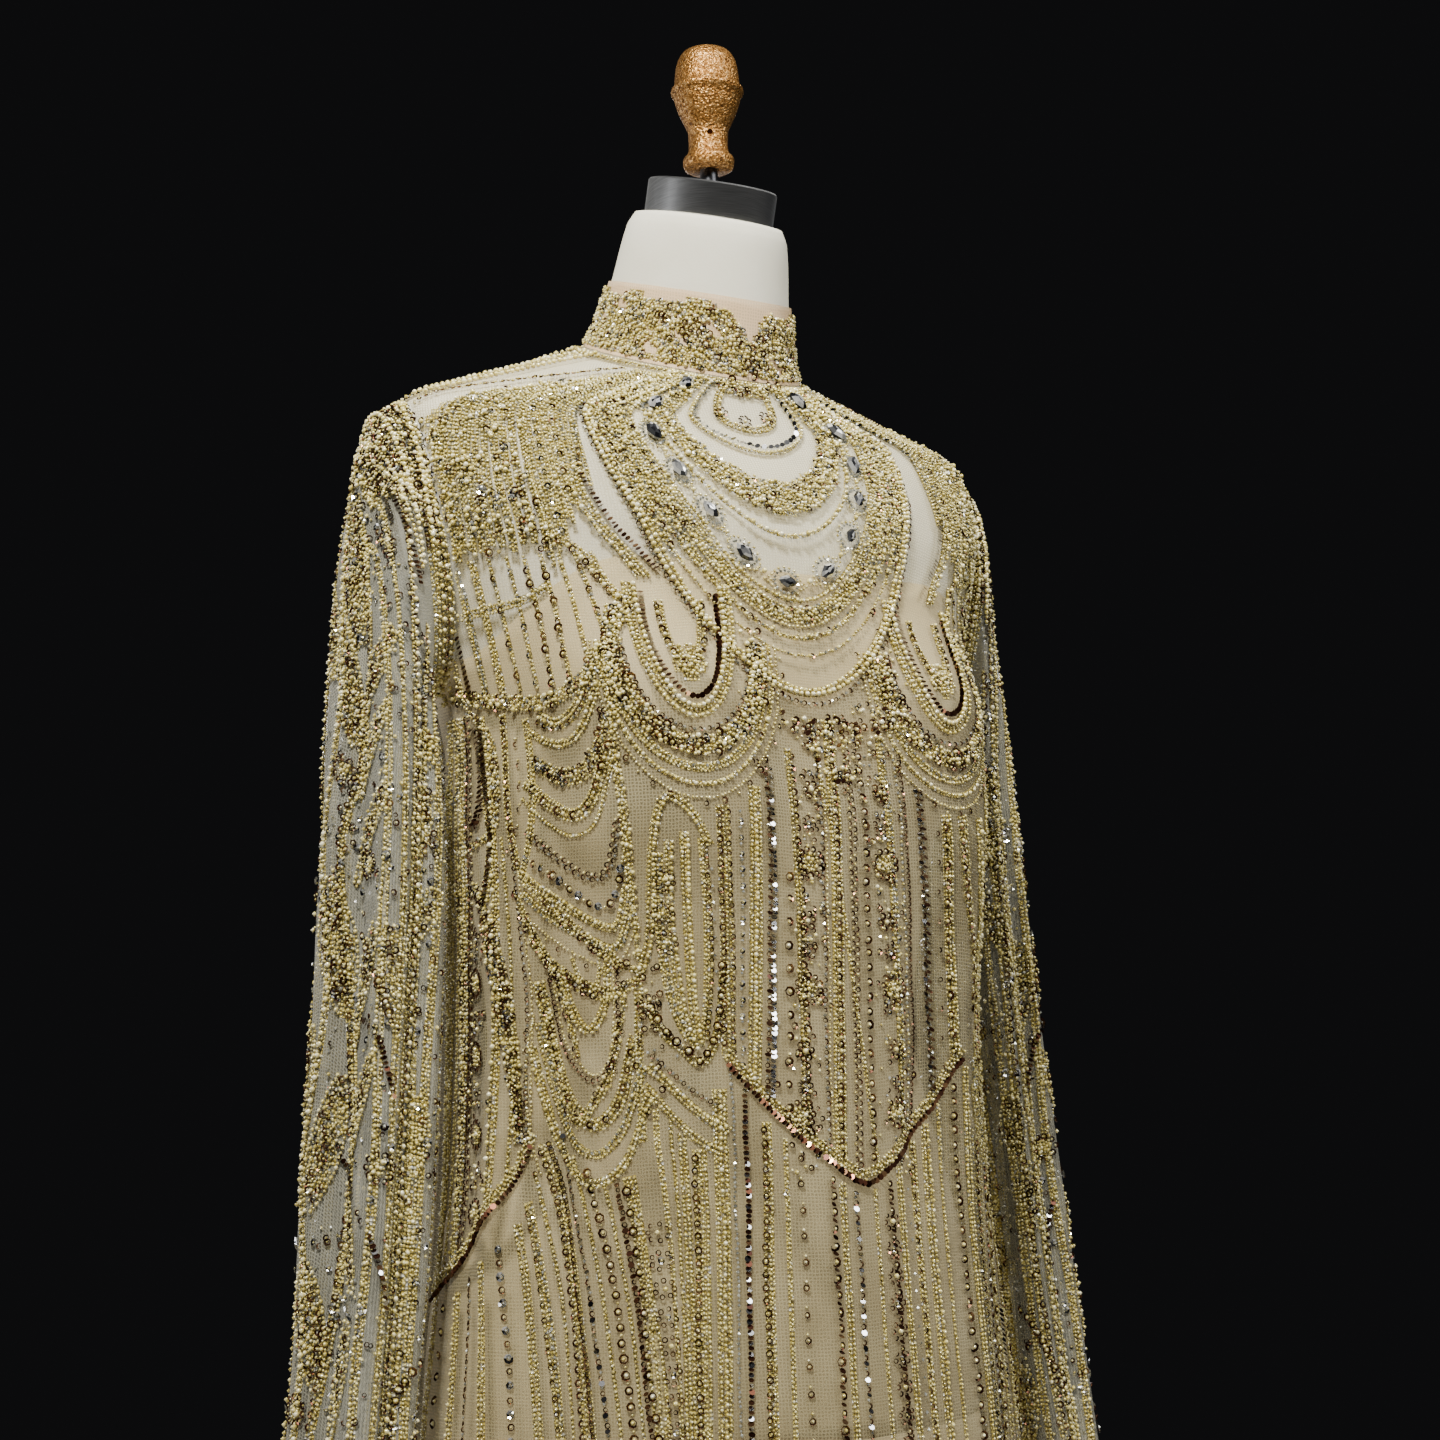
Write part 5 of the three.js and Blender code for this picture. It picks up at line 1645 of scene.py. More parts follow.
SKIRT = [
    # turn, height where it starts, threads
    (-1.58, 1180, "s pss"), (-1.52, 922, "D_"), (-1.46, 928, "sps s"), (-1.40, 936, "oco"),
    (-1.34, 944, "s s"), (-1.28, 952, "W-d-"), (-1.22, 962, "s s"), (-1.17, 972, "sso sc"),
    (-1.12, 986, "s"), (-1.06, 1000, "sd ss o"), (-1.0, 1004, "lco"), (-0.96, 994, "s"),
    (-0.915, 988, "Ds"), (-0.87, 984, "s"), (-0.825, 984, "ok"), (-0.77, 984, "ssD s s"),
    (-0.65, 1016, "ss"), (-0.61, 1010, "s"), (-0.575, 1004, "s s"), (-0.52, 996, "sd ss s"),
    (-0.45, 1024, "s sp s"),
    (-0.41, 1034, "c"), (-0.37, 1024, "lk"), (-0.30, 1008, "sd s"), (-0.24, 1000, "s"),
    (-0.19, 994, "sd_"), (-0.10, 982, "Dk"), (-0.05, 978, "s s"), (0.0, 974, "lco"),
    (0.08, 974, "s"), (0.14, 978, "dk"), (0.19, 984, "s s"), (0.24, 990, "c_"), (0.29, 996, "sso s"),
    (0.34, 1004, "s sp"), (0.40, 1014, "s"), (0.47, 1024, "D-"), (0.53, 1032, "ss s"),
    (0.585, 1000, "lc"), (0.64, 1000, "s"), (0.71, 996, "sd so s"), (0.77, 990, "s"),
    (0.83, 990, "oc"), (0.90, 988, "ssD s"), (0.96, 994, "s"), (1.02, 1000, "sp s"),
    (1.09, 996, "lk"), (1.15, 980, "s s"), (1.22, 964, "Ds"), (1.28, 952, "s"),
    (1.34, 944, "so s"), (1.40, 936, "oco"), (1.46, 928, "sps s"), (1.52, 922, "D_"), (1.58, 1180, "s pss"),
]
PLAIN_FROM = 845
ABOVE_HEM = 9
APART = {"b": "---", "d": "---", "w": "---", "W": "---", "c": "---", "D": "----", "_": "", "-": "-"}


def spaced(repeat):
    """The same beads, sewn further apart."""
    return "".join(letter + APART.get(letter, "--") for letter in repeat)


for start, top, threads in SKIRT:
    v = np.linspace(top, PLAIN_FROM, 50)
    strands("gown", leaning(start, v), v, threads, gap=2.4)
    v = np.linspace(PLAIN_FROM, HEM + ABOVE_HEM, 60)
    first, *others = threads.split()
    strand("gown", leaning(start, v), v, spaced(first))
    if first[0] == "s":
        ground("gown", leaning(start, v), v, 3.6 if others else 2.2, step=9)
for flowers_at in (-0.69, 0.135):
    for number, v in enumerate(np.arange(958, 850, -13.0)):
        flower("gown", leaning(flowers_at, v), v, 7, 3.9, "o", "w" if number % 2 else "P")
strands("gown", np.linspace(-math.pi, math.pi, 400), HEM + 5.0, "p-- s-", gap=3)
print("sewn so far:", sewn_so_far())

# %% [markdown]
# The back is plainer. Swags cross the shoulder blades under the collar, the shoulders carry the front's
# solid patches over, and threads hang from them to the hem.

# %% Back
BACK_SWAGS = [
    # lowest height, half width (rad), threads side by side
    (1385, 0.3, "s s"),
    (1362, 0.42, "p"),
    (1335, 0.55, "ps s ps"),
    (1300, 0.68, "oc"),
    (1285, 0.74, "s P s"),
    (1252, 0.86, "s ps"),
    (1222, 0.98, "P s k"),
]
for low, half, threads in BACK_SWAGS:
    for start, end in ((-1, -0.02), (0.02, 1)):  # one on each side of the seam
        strands("gown", *swag(low, half, start, end, middle=math.pi), threads, gap=2.5)


def back_shoulder(u, v):
    """The solid patch behind a shoulder."""
    a = np.abs(wrap(u))
    return (a > 1.62) & (a < 2.3) & (v > 1300 + 5 * np.abs(np.sin(a * 22))) & (v < 1372 + 60 * (a - 1.6))


BACK_THREADS = ("s", "sps", "oc", "ss", "dss", "s", "wss")
for side in (-1, 1):
    sides = sorted((1.58 * side, 2.32 * side))
    scatter("gown", sides, (1298, 1416), "sssssppdoc", back_shoulder, gap=2.9)
    for number in range(22):
        start = 1.66 + number * 0.067
        top = 1206 - 9 * math.sin((start - 1.6) / 1.54 * math.pi)
        threads = BACK_THREADS[number % 7]
        strand("gown", side * start, np.linspace(top, PLAIN_FROM, 60), threads)
        strand("gown", side * start, np.linspace(PLAIN_FROM, HEM + ABOVE_HEM, 60), spaced(threads))
print("sewn so far:", sewn_so_far())

# %% [markdown]
# The collar is nearly solid with seeds, pearls and cup sequins, and its upper edge is left bare, with a
# small notch in front.

# %% Collar
def on_collar(u, v):
    """The covered part of the collar."""
    top = 1455 - 15 * bump(wrap(u - 0.05), 0.13) + 1.5 * np.sin(u * 9)
    thin = (np.sin(u * 14 + v / 3) + 0.8 * np.sin(u * 5 - v / 5)) > -1.45
    return (v < top) & thin & (np.abs(wrap(u)) < math.pi - 0.04)


scatter("collar", (-3.1, 3.1), (1424, 1457), "sssssssppppcdw", on_collar, gap=2.3)
strands("gown", np.linspace(-3.1, 3.1, 200), 1419.0, "ps s", gap=2.2)
BIG_CUPS = ((-0.16, 1421), (0.06, 1424), (0.2, 1420), (0.33, 1421), (0.0, 1430), (-0.42, 1436), (-0.1, 1440))
for u, v in BIG_CUPS:
    single("collar" if v > NECK_SEAM else "gown", "D", u, v)
print("sewn so far:", sewn_so_far())

# %% [markdown]
# The sleeves. Their caps are filled, with rows of beads that follow the armhole. Below the cap lie leaf
# shapes filled with seeds. Both are worked out flat, in turns round the arm and rows down it.

# %% Leaves and caps
def leaf(cloth, u, row, wide, high, lean):
    """A leaf filled with seeds, with a line of beads round it."""
    per_u, per_v = metric(cloth, u, row)

    def inside(a, b):
        x, y = (a - u) * per_u, (b - row) * per_v
        x = x - lean * y
        return np.abs(x) < wide * np.clip(1 - (y / high) ** 2, 0, 1)

    span_u, span_v = (wide + abs(lean) * high) / per_u, high / per_v
    scatter(cloth, (u - span_u, u + span_u), (row - span_v, row + span_v), "ssssspcdo", inside, gap=2.6)
    t = np.linspace(-1, 1, 30)
    for side in (-1, 1):
        x = side * (wide * (1 - t**2) + 1.5) + lean * t * high
        strand(cloth, u + x / per_u, row + t * span_v, "ps")


def sleeve_cap(u, row):
    """The solid part over the shoulder, with a scalloped edge."""
    middle = np.abs(np.mod(u, 2 * math.pi) - 1.75)
    edge = 1.25 - 1.5 * np.clip(middle / 1.3, 0, 1) ** 2 + 0.1 * np.abs(np.sin(u * 9))
    return (middle < 1.35) & (row < edge) & (row > -0.95)


CAP_ROWS = ((-0.72, "P"), (-0.45, "k"), (0.02, "P"), (0.3, "oc"), (0.6, "p"), (0.95, "k"))
UNDER_ARM = ((-0.88, "sp"), (-0.72, "Ps"), (-0.56, "ssd"), (-0.4, "sP"), (-0.24, "ssp"), (-0.08, "sc"))
print("rows of the cap:", len(CAP_ROWS), "and under the arm:", len(UNDER_ARM))

# %% [markdown]
# Wavy bands sweep out of the cap and run down to the cuff, no two of them alike, and short chains of dark
# cups cross them. The wearer's right and left sleeve share this one plan, mirrored.

# %% Plan of a sleeve
SLEEVE_LINES = [
    # threads, then places on their way: turn and row
    ("sP sd s", (2.15, 0.95), (2.45, 0.75), (2.72, 0.9), (2.92, 1.4), (3.07, 2.2), (3.2, 3.1), (3.24, 4.2),
     (3.16, 5.4), (3.24, 6.6), (3.2, 7.9)),
    ("ss ps", (1.7, 1.35), (2.05, 1.25), (2.35, 1.45), (2.6, 1.95), (2.78, 2.6), (2.9, 3.3), (2.94, 4.2),
     (2.9, 5.2), (2.97, 6.2), (2.9, 7.9)),
    ("s sp", (1.75, 1.75), (2.1, 1.8), (2.36, 2.2), (2.54, 2.8), (2.62, 3.7), (2.6, 4.8), (2.66, 5.8),
     (2.58, 6.8), (2.62, 7.9)),
    ("s ds", (1.6, 1.4), (1.9, 2.0), (2.12, 2.7), (2.0, 3.4), (1.76, 4.0), (1.96, 4.9), (2.2, 5.7),
     (2.0, 6.6), (1.8, 7.2), (2.0, 7.9)),
    ("sP s", (1.4, 1.2), (1.46, 2.2), (1.62, 3.0), (1.44, 3.9), (1.62, 4.8), (1.42, 5.7), (1.62, 6.6),
     (1.5, 7.9)),
    ("sp s", (1.2, 1.2), (1.14, 2.2), (1.26, 3.2), (1.14, 4.2), (1.26, 5.2), (1.18, 6.4), (1.26, 7.9)),
    ("s so", (0.9, 0.9), (0.84, 2.0), (0.97, 3.2), (0.84, 4.4), (0.98, 5.6), (0.85, 6.8), (0.92, 7.9)),
    ("sp s", (0.5, 0.6), (0.56, 2.4), (0.46, 4.0), (0.58, 5.6), (0.48, 7.9)),
    ("s s", (0.1, 1.0), (0.0, 3.0), (0.12, 5.0), (0.02, 7.9)),
    ("sps", (-0.4, 1.4), (-0.5, 3.6), (-0.38, 5.8), (-0.46, 7.9)),
    ("s so", (-0.95, 2.0), (-0.88, 4.0), (-0.98, 6.0), (-0.9, 7.9)),
    ("ss", (-1.35, 2.6), (-1.42, 5.0), (-1.35, 7.9)),
    ("sP ss", (5.3, 1.4), (5.25, 3.0), (5.32, 5.0), (5.22, 7.9)),
    ("k", (4.98, 2.2), (5.04, 3.4), (4.95, 4.6)), ("lc", (4.95, 4.8), (5.02, 6.2), (4.95, 7.9)),
    ("sp s", (4.68, 2.4), (4.62, 4.0), (4.72, 5.6), (4.64, 7.9)),
    ("lco", (4.42, 2.8), (4.46, 5.4)), ("D-", (4.45, 5.7), (4.42, 7.9)),
    ("sd s s", (4.15, 2.0), (4.22, 3.8), (4.12, 5.4), (4.2, 7.9)),
    ("c-", (3.92, 1.9), (3.96, 4.6), (3.9, 7.9)),
    ("s s", (3.72, 1.3), (3.78, 3.4), (3.7, 5.6), (3.76, 7.9)),
    ("sp sd", (3.46, 0.9), (3.54, 2.6), (3.44, 4.4), (3.54, 6.2), (3.46, 7.9)),
    # short dark and silver chains across
    ("D", (2.2, 4.45), (2.5, 4.66), (2.78, 4.95)), ("k", (2.3, 4.95), (2.6, 5.05), (2.92, 5.35)),
    ("k", (1.92, 5.66), (2.2, 5.74), (2.42, 5.92)), ("kl", (2.66, 6.02), (2.86, 6.2), (3.02, 6.4)),
    ("k", (1.95, 1.12), (2.2, 1.08), (2.46, 1.3)), ("o", (1.7, 2.7), (1.92, 2.95), (1.86, 3.2)),
    ("od", (0.74, 4.4), (0.62, 5.0)), ("W-", (1.95, 6.42), (2.2, 6.34), (2.46, 6.42)),
    ("D", (4.7, 5.0), (4.4, 5.25), (4.1, 5.3)),
    ("ss o", (4.9, 5.5), (4.6, 5.2), (4.3, 5.05), (3.9, 4.9)),
    ("k s", (4.9, 3.2), (4.6, 3.05), (4.2, 2.8), (3.9, 2.3)), ("D", (3.9, 6.6), (3.6, 6.8), (3.4, 7.1)),
]
LEAVES = [
    # turn, row, half width and half height (mm), lean
    (2.3, 2.75, 5, 26, -0.5), (2.26, 3.3, 5, 26, -0.6), (2.28, 3.85, 5, 26, -0.6), (1.72, 2.1, 12, 36, 0.1),
    (1.75, 2.95, 8, 30, 0.2), (3.6, 5.5, 5, 20, 0.0), (3.4, 5.95, 5, 20, 0.1), (3.42, 3.5, 5, 22, -0.3),
    (3.45, 2.9, 5, 20, -0.4), (3.42, 4.3, 5, 22, -0.4), (1.75, 4.55, 10, 34, 0.15), (2.3, 4.75, 6, 30, -0.4),
    (2.35, 5.4, 6, 28, -0.5), (2.3, 6.05, 5, 26, 0.4), (1.75, 5.6, 8, 34, -0.2), (2.3, 6.75, 8, 30, -0.3),
    (1.3, 2.6, 6, 28, 0.2), (1.3, 5.3, 6, 28, -0.2), (1.72, 6.5, 8, 30, 0.2), (2.8, 4.7, 4, 26, 0.1),
    (2.1, 7.5, 7, 24, 0.1), (0.7, 3.0, 6, 26, 0.2), (0.3, 5.0, 6, 28, -0.1), (4.4, 4.2, 5, 24, 0.2),
    (5.0, 6.4, 5, 24, -0.2), (4.0, 7.2, 6, 24, 0.1), (5.7, 4.4, 6, 26, 0.1), (3.1, 7.2, 6, 24, -0.2),
]
HEAPS = [
    # turn and row
    (0.75, 6.15), (0.9, 6.5), (2.35, 4.05), (1.75, 3.5), (2.75, 5.7), (1.6, 6.9), (1.7, 0.7), (2.4, 1.6),
    (4.85, 7.3), (4.2, 6.3), (3.5, 3.6),
]
print("lines on a sleeve:", len(SLEEVE_LINES), "leaves:", len(LEAVES), "heaps:", len(HEAPS))

# %% [markdown]
# Each sleeve is sewn from its cap to its cuff: the cap, the rows round the armhole, the bands, the leaves,
# the cuff's edge, and last the loose beads, which are few enough that the net between them stays bare.

# %% Sewing the sleeves
for cloth in ("sleeve_right", "sleeve_left"):
    scatter(cloth, (0.4, 3.15), (-0.95, 1.4), "ssssssppPcddow", sleeve_cap, gap=2.25)
    arm = np.linspace(0.45, 3.15, 60)
    for row, letters in CAP_ROWS:
        strand(cloth, arm, row + 0.5 * (1 - np.cos(arm - 1.75)) * (row < 0.5), letters, wander=0.3)
    for row, letters in UNDER_ARM:
        strands(cloth, np.linspace(2.5, 5.6, 60), row, letters, wander=0.3, under=2.4)
    for threads, *places in SLEEVE_LINES:
        strands(cloth, *curve(*places), threads, gap=2.4, wander=0.5)
    for place in LEAVES:
        leaf(cloth, *place)
    strands(cloth, np.linspace(0, 2 * math.pi, 120), CUFF - 0.06, "ps s", gap=2.6)
    for u, row in HEAPS:
        cluster(cloth, u, row, 4.2, "sssp", "d")
    strew(cloth, (0, 2 * math.pi), (1.4, 7.9), "oodcwcspW", lambda u, row: row > 1.4, 7.5)
print("sewn in all:", sewn_so_far())

# %% [markdown]
# Now the notes become beads. Where each one sits and how it lies are worked out from the skin. No bead sits
# quite straight on real cloth, so each is tipped a little at random, and that is what makes them glitter.

# %% How the beads lie
def square_to(normal, thread):
    """The thread's direction, laid flat on the cloth."""
    thread = thread - normal * (thread * normal).sum(-1, keepdims=True)
    return thread / (np.linalg.norm(thread, axis=-1, keepdims=True) + TINY)


def basis(cloth, beads):
    """Where each bead sits, and the cloth's normal and the thread's direction there."""
    skin, facing, face, du, dv = SKINS[cloth]
    u, v = beads[:, 0], beads[:, 1]
    normal = across(skin, u, v, du, dv) * facing
    place = skin(u, v) + normal * (face + beads[:, 5:6])
    size = np.hypot(*(beads[:, 2:4] * np.stack(metric(cloth, u, v), -1)).T)[:, None] + TINY
    step = beads[:, 2:4] / size * 0.5
    thread = skin(u + step[:, 0], v + step[:, 1]) - skin(u - step[:, 0], v - step[:, 1])
    return place, normal, square_to(normal, thread)


TIPPED = {"seed": 0.3, "clear_seed": 0.3, "dark_cup": 0.14, "bright_cup": 0.16, "dark_sequin": 0.1,
          "bright_sequin": 0.12, "crystal": 0.05, "pearl": 0.0, "small_pearl": 0.0}


def tipped(shape, normal, thread):
    """The same directions, each turned a little at random."""
    normal = normal + rng.normal(0, 1, normal.shape) * TIPPED[shape]
    normal = normal / np.linalg.norm(normal, axis=-1, keepdims=True)
    return normal, square_to(normal, thread)


print("tipped most:", max(TIPPED, key=TIPPED.get))

# %% [markdown]
# All the beads of one kind on one piece of cloth are one mesh: the kind's shape is copied to each place and
# turned to lie there. Each carries its own shade, so that one finish can serve a whole mesh. On round beads
# that shade also holds painted light: a painted highlight on top and painted shade towards the rim.

# %% A mesh of beads
ROUND_BEADS = ("pearl", "small_pearl", "seed", "clear_seed")
# painted light on round beads: its strength, and the part of the bead's height where it turns to shade
PAINTED_LIGHT_STRENGTH, PAINTED_LIGHT_MIDDLE = 0.95, 0.65


def bead_mesh(name, shape, place, normal, thread, size, shade):
    """One mesh of many copies of a bead's shape."""
    corners, faces = SHAPES[shape]
    normal, thread = tipped(shape, normal, thread)
    side = np.cross(normal, thread)
    count = len(place)
    points = place[:, None] + size[:, None, None] * (
        corners[None, :, :1] * thread[:, None] + corners[None, :, 1:2] * side[:, None]
        + corners[None, :, 2:] * normal[:, None])
    index = (faces[None] + (np.arange(count) * len(corners))[:, None, None]).reshape(-1)
    mesh = bpy.data.meshes.new(name)
    mesh.vertices.add(count * len(corners))
    mesh.vertices.foreach_set("co", (points * MM).astype(np.float32).ravel())
    mesh.loops.add(len(index))
    mesh.loops.foreach_set("vertex_index", index.astype(np.int32))
    mesh.polygons.add(len(index) // 3)
    mesh.polygons.foreach_set("loop_start", np.arange(0, len(index), 3, dtype=np.int32))
    mesh.update(calc_edges=True)
    if shape == "crystal":  # each facet a random painted shade, black to white: painted reflections
        layer = mesh.attributes.new("shade", "FLOAT", "FACE")
        shade = np.repeat(rng.uniform(0, 1, len(index) // 6), 2)
    else:  # a glass bead is lighter on top than at its rim
        # painted highlight on top of a round bead, painted shade towards its rim
        layer = mesh.attributes.new("shade", "FLOAT", "POINT")
        top = corners[:, 2] / corners[:, 2].max()
        shade = (shade[:, None] + PAINTED_LIGHT_STRENGTH * (top - PAINTED_LIGHT_MIDDLE) * (shape in ROUND_BEADS)).ravel()
    layer.data.foreach_set("value", shade.astype(np.float32))
    return add_object(name, mesh)


print("lighter than its rim, on top:", ", ".join(ROUND_BEADS))

# %% [markdown]
# The strips of fine seeds become one mesh on each piece of cloth, with their second map for the pattern.
# Beads and strips that would lie in an armhole are left out.

# %% A mesh of strips
CLEAR_OF_ARMHOLE, STRIP_LIFT = 1.5, 0.25


def rows_mesh(name, cloth, parts):
    """One mesh of the strips of fine seeds on a piece of cloth."""
    start, at, flat, faces = 0, [], [], []
    for part_at, part_flat, part_faces in parts:
        at.append(part_at)
        flat.append(part_flat)
        faces.append(part_faces + start)
        start += len(part_at)
    at, flat, faces = np.concatenate(at), np.concatenate(flat), np.concatenate(faces)
    skin, facing, face, du, dv = SKINS[cloth]
    normal = across(skin, at[:, 0], at[:, 1], du, dv) * facing
    points = skin(at[:, 0], at[:, 1]) + normal * (face + STRIP_LIFT)
    if cloth == "gown":
        faces = faces[(in_armhole(points, CLEAR_OF_ARMHOLE) > 1)[faces].all(1)]
    used, faces = np.unique(faces, return_inverse=True)
    faces = faces.reshape(-1, 4)
    if facing < 0:
        faces = faces[:, ::-1]
    mesh = bpy.data.meshes.new(name)
    mesh.from_pydata(points[used] * MM, [], faces.tolist())
    layer = mesh.uv_layers.new(name="cut")
    layer.data.foreach_set("uv", (flat[used][faces.ravel()] * MM).astype(np.float32).ravel())
    print(f"{name}: {len(faces)} faces")
    return add_object(name, mesh)


print("strips to join:", {cloth: len(parts) for cloth, parts in grounds.items()})

# %% [markdown]
# A bead on the gown belongs to the front or to the back piece that it lies on, and is joined with the others
# of that piece. The front has so many that its beads are in two meshes, one above the other.

# %% Joining the beads
FRONT_PARTS = 1085
beadwork = {}
total = 0
for (cloth, shape), rows in sorted(sewn.items()):
    beads = np.concatenate(rows)
    place, normal, thread = basis(cloth, beads)
    groups = [(cloth, cloth, np.full(len(beads), True))]
    if cloth == "gown":
        keep = in_armhole(place, CLEAR_OF_ARMHOLE) > 1
        turn = wrap(beads[:, 0])
        front = keep & (np.abs(turn) <= QUARTER)
        upper = beads[:, 1] > FRONT_PARTS
        groups = [
            ("gown_front_upper", "gown_front", front & upper),
            ("gown_front_lower", "gown_front", front & ~upper),
            ("gown_back_left", "gown_back_left", keep & (turn > QUARTER)),
            ("gown_back_right", "gown_back_right", keep & (turn < -QUARTER)),
        ]
    for name, piece, chosen in groups:
        if not chosen.any():
            continue
        size, shade = beads[chosen, 4], beads[chosen, 6]
        obj = bead_mesh(f"{name}_{shape}", shape, place[chosen], normal[chosen], thread[chosen], size, shade)
        beadwork.setdefault(piece, []).append((shape, obj))
        total += len(obj.data.polygons)
        print(f"{obj.name}: {int(chosen.sum())} beads, {len(obj.data.polygons)} triangles")

for cloth, parts in sorted(grounds.items()):
    groups = {cloth: parts}
    if cloth == "gown":
        groups = {"gown_front": [], "gown_back_left": [], "gown_back_right": []}
        for part in parts:
            turn = wrap(part[0][:, 0].mean())
            side = "left" if turn > 0 else "right"
            groups["gown_front" if abs(turn) < QUARTER else f"gown_back_{side}"].append(part)
    for piece, parts in groups.items():
        obj = rows_mesh(f"{piece}_seed_rows", cloth, parts)
        beadwork.setdefault(piece, []).append(("seed_rows", obj))
        total += 2 * len(obj.data.polygons)
print("beadwork:", total, "triangles")

# %% [markdown]
# Glass pearls have a soft sheen under a clear coat. The seeds are lined with gold, the cups and sequins are
# metal foil on plastic, and the crystals are backed with foil. Each crystal facet is painted a random shade
# from black to white: painted reflections, for facets that flash white or go black.

# %% Bead finishes
def bead_material(name, colours, **values):
    """A finish that takes its colour from each bead's own shade."""
    material, tree, shader = new_material(name, **values)
    shade = add_node(tree, "Attribute", attribute_name="shade").outputs["Fac"]
    stops = np.linspace(0, 1, len(colours))
    feed(shader, Base_Color=ramp(tree, shade, *zip(stops, colours)))
    return material


GLASS = {"Roughness": 0.2, "Metallic": 0.1, "Coat_Weight": 1.0, "Coat_Roughness": 0.05, "Coat_IOR": 2.0}
# the darkest and lightest stops show as painted shade at bead rims and a painted highlight on top
pearl_glass = bead_material("cream_glass_pearl", ("#A08E44", "#D3C26A", "#EEE096", "#FEF8D2"), **GLASS)
seed_glass = bead_material("gold_lined_seed_glass", ("#A08E4A", "#CDBC68", "#E9DC92", "#FDF6CE"), **GLASS)
clear_glass = bead_material("silver_lined_clear_glass", ("#8E9088", "#BDC0B8", "#EEF0E8"),
                            Roughness=0.14, Metallic=0.75)
dark_foil = bead_material("burnt_umber_sequin_foil", ("#2A1610", "#4E2E20", "#8A6A4C"),
                          Roughness=0.2, Metallic=0.9)
bright_foil = bead_material("silver_sequin_foil", ("#8F9095", "#C6C7CC", "#F0F0F2"),
                            Roughness=0.12, Metallic=1.0)
# painted reflections: each facet's random shade makes it black, grey or white
crystal_painted_glints = bead_material("foil_backed_cut_crystal", ("#16161A", "#5E6064", "#FDFDFB"),
                            Roughness=0.05, Metallic=0.6)
print("bead finishes done")

# %% [markdown]
# The finer seeds aren't modelled. Each cell of a Voronoi pattern is one seed of 1.9 mm, raised to a dome by
# bump, with painted shade that darkens it towards its rim, and the net shows between them.

# %% Fine seeds
FINE_SEED = 0.0019
seed_rows, tree, shader = new_material("gold_lined_seed_rows", Roughness=0.16, Metallic=0.15)
cloth_map = add_node(tree, "UVMap", uv_map="cut").outputs["UV"]
cells = add_node(tree, "TexVoronoi", {"Vector": cloth_map, "Scale": 1 / FINE_SEED, "Randomness": 0.35},
                 voronoi_dimensions="2D").outputs
from_heart = add_node(tree, "Math", {0: cells["Distance"], 1: 2.05}, operation="MULTIPLY").outputs[0]
fall = add_node(tree, "Math", {0: from_heart, 1: 2.0}, operation="POWER").outputs[0]
level = add_node(tree, "Math", {0: 1.0, 1: fall}, operation="SUBTRACT", use_clamp=True).outputs[0]
dome = add_node(tree, "Math", {0: level}, operation="SQRT").outputs[0]
held = add_node(tree, "Math", {0: from_heart, 1: 1.0}, operation="LESS_THAN").outputs[0]
lot = add_node(tree, "SeparateColor", {0: cells["Color"]}).outputs[0]
tone = ramp(tree, lot, (0.0, "#B09A4A"), (0.45, "#D8C56C"), (0.85, "#EFE29B"), (0.97, "#F0EEE2"))
# painted shade: each fine seed's colour darkens towards its rim
rim = add_node(tree, "Math", {0: dome, 1: 0.65, 2: 0.35}, operation="MULTIPLY_ADD").outputs[0]
tone = add_node(tree, "VectorMath", {0: tone, 1: rim}, operation="MULTIPLY").outputs[0]
relief = add_node(tree, "Bump", {"Height": dome, "Strength": 1.0, "Distance": 0.0008})
feed(shader, Base_Color=tone, Alpha=held, Normal=relief.outputs[0])
print("fine seeds of", round(FINE_SEED / MM, 1), "mm")

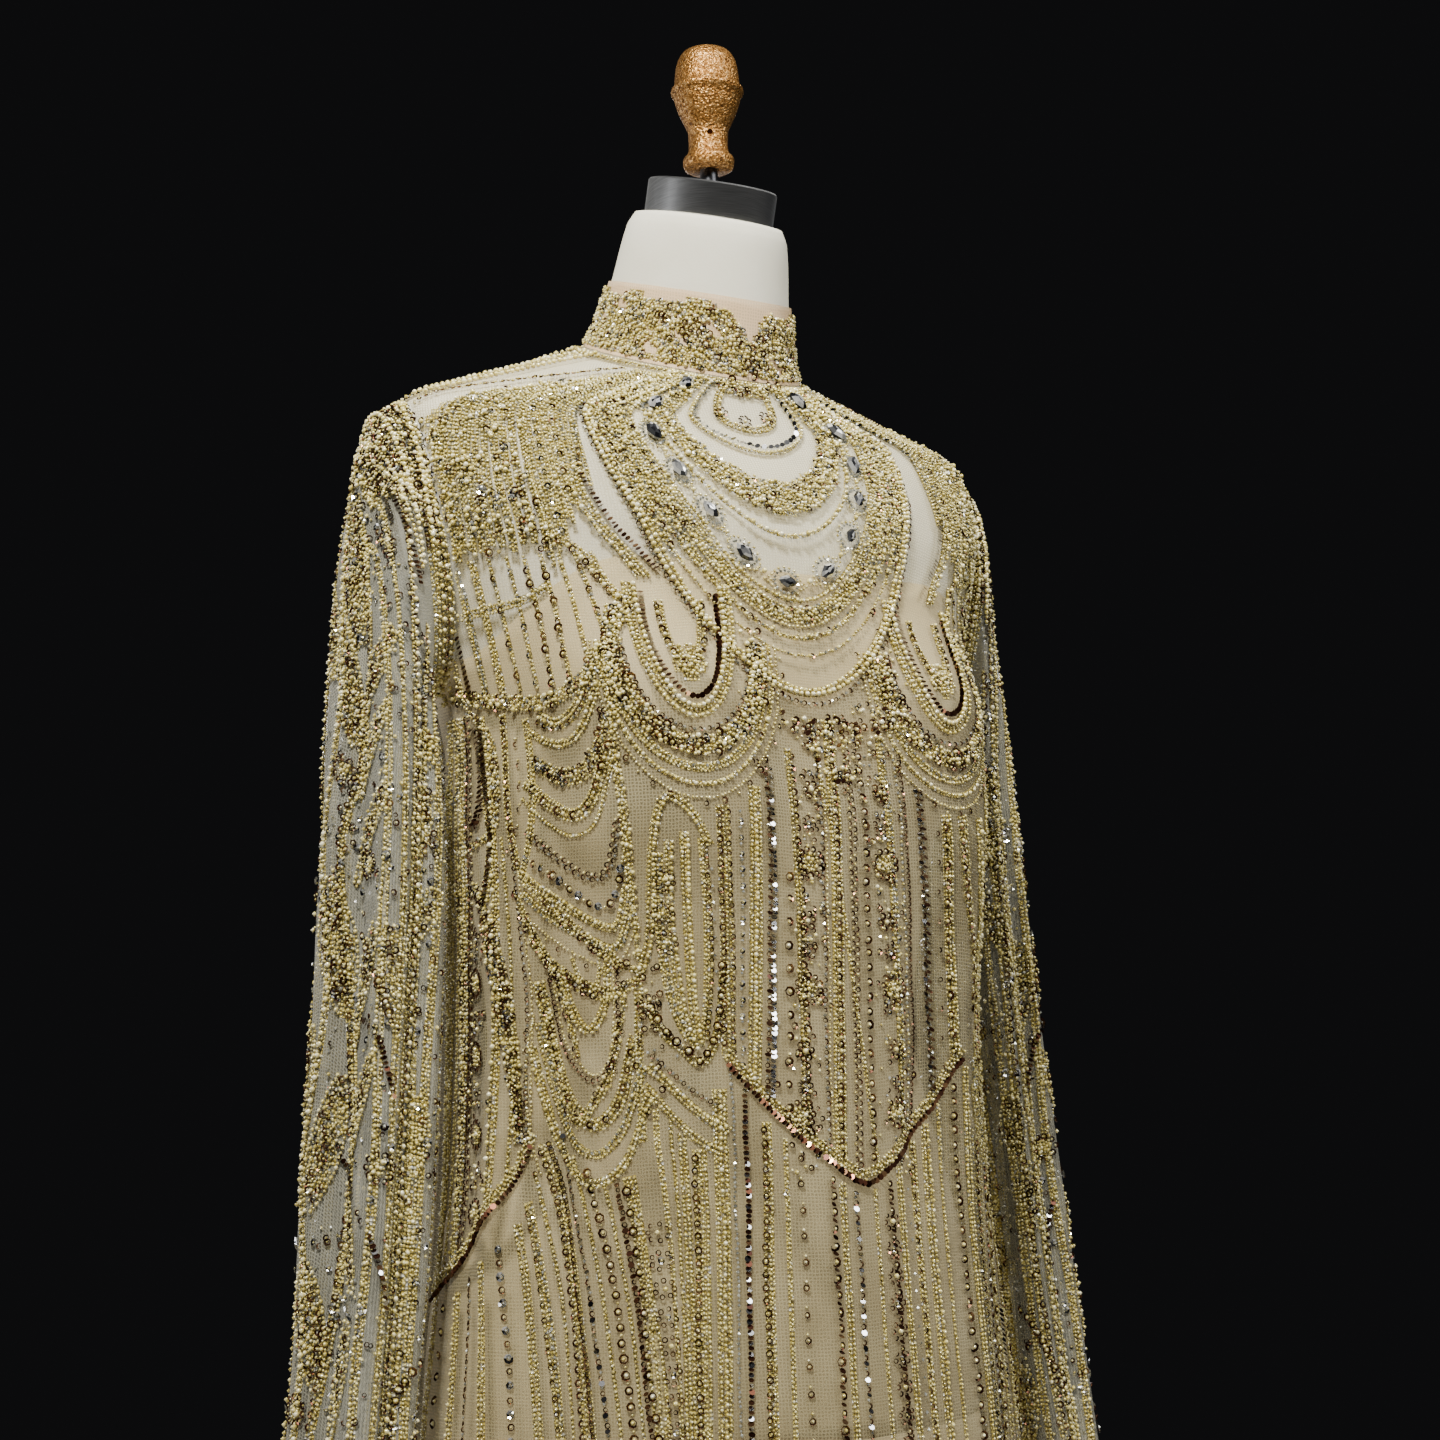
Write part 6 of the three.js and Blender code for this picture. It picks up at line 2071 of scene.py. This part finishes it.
# %% [markdown]
# Each mesh of beads gets its finish. Pearls and gold seeds are shaded round, and what is cut or stamped keeps
# its facets. The buttons have a plain lustre of their own.

# %% Finishing the beads
BEAD_FINISH = {
    "pearl": pearl_glass, "small_pearl": pearl_glass, "seed": seed_glass, "clear_seed": clear_glass,
    "seed_rows": seed_rows, "dark_cup": dark_foil, "bright_cup": bright_foil, "dark_sequin": dark_foil,
    "bright_sequin": bright_foil, "crystal": crystal_painted_glints,
}
for pieces in beadwork.values():
    for shape, obj in pieces:
        rounded = shape in ("pearl", "small_pearl", "seed", "seed_rows")
        finish(obj, BEAD_FINISH[shape], smooth=rounded)
        if not rounded:
            obj.data.shade_flat()
button_pearl, tree, shader = new_material("ivory_button_pearl", Roughness=0.2, Coat_Weight=0.6)
place = add_node(tree, "TexCoord").outputs["Object"]
lustre = add_node(tree, "TexNoise", {"Vector": place, "Scale": 160.0}).outputs["Fac"]
feed(shader, Base_Color=ramp(tree, lustre, (0.3, "#E2D4A2"), (0.7, "#F3EAC8")))
for number, obj in enumerate(buttons, 1):
    finish(obj, button_pearl, f"nape_button_{number}", smooth=False)
print("finished", sum(map(len, beadwork.values())), "meshes of beads")

# %% [markdown]
# The cut of each piece, in metres: width and length of the flat cloth that it was cut from, and how much of
# that rectangle it fills. Gown and sleeves hang, and the collar is drawn tight round the neck.

# %% The cut
CUT = {
    # width and length, how it is held, what it rests on, how much of the rectangle it fills
    "gown_front": ((0.80, 1.46), "hung", "form_torso", 0.8),
    "gown_back": ((0.42, 1.46), "hung", "form_torso", 0.8),
    "sleeve": ((0.27, 0.60), "hung", "gown_front", 0.85),
    "collar": ((0.35, 0.042), "stretched", "form_torso", 1.0),
    "lining_body": ((0.46, 0.44), "hung", "form_torso", 0.85),
    "lining_skirt": ((0.60, 0.80), "hung", "form_torso", 0.85),
}
for node, obj in (net | slip).items():
    flat, held, under, share = next(CUT[kind] for kind in CUT if node.startswith(kind))
    beads = [bead for _, bead in beadwork.get(node, [])]
    print(node, "area", round(sum(face.area for face in obj.data.polygons), 3), "m2")
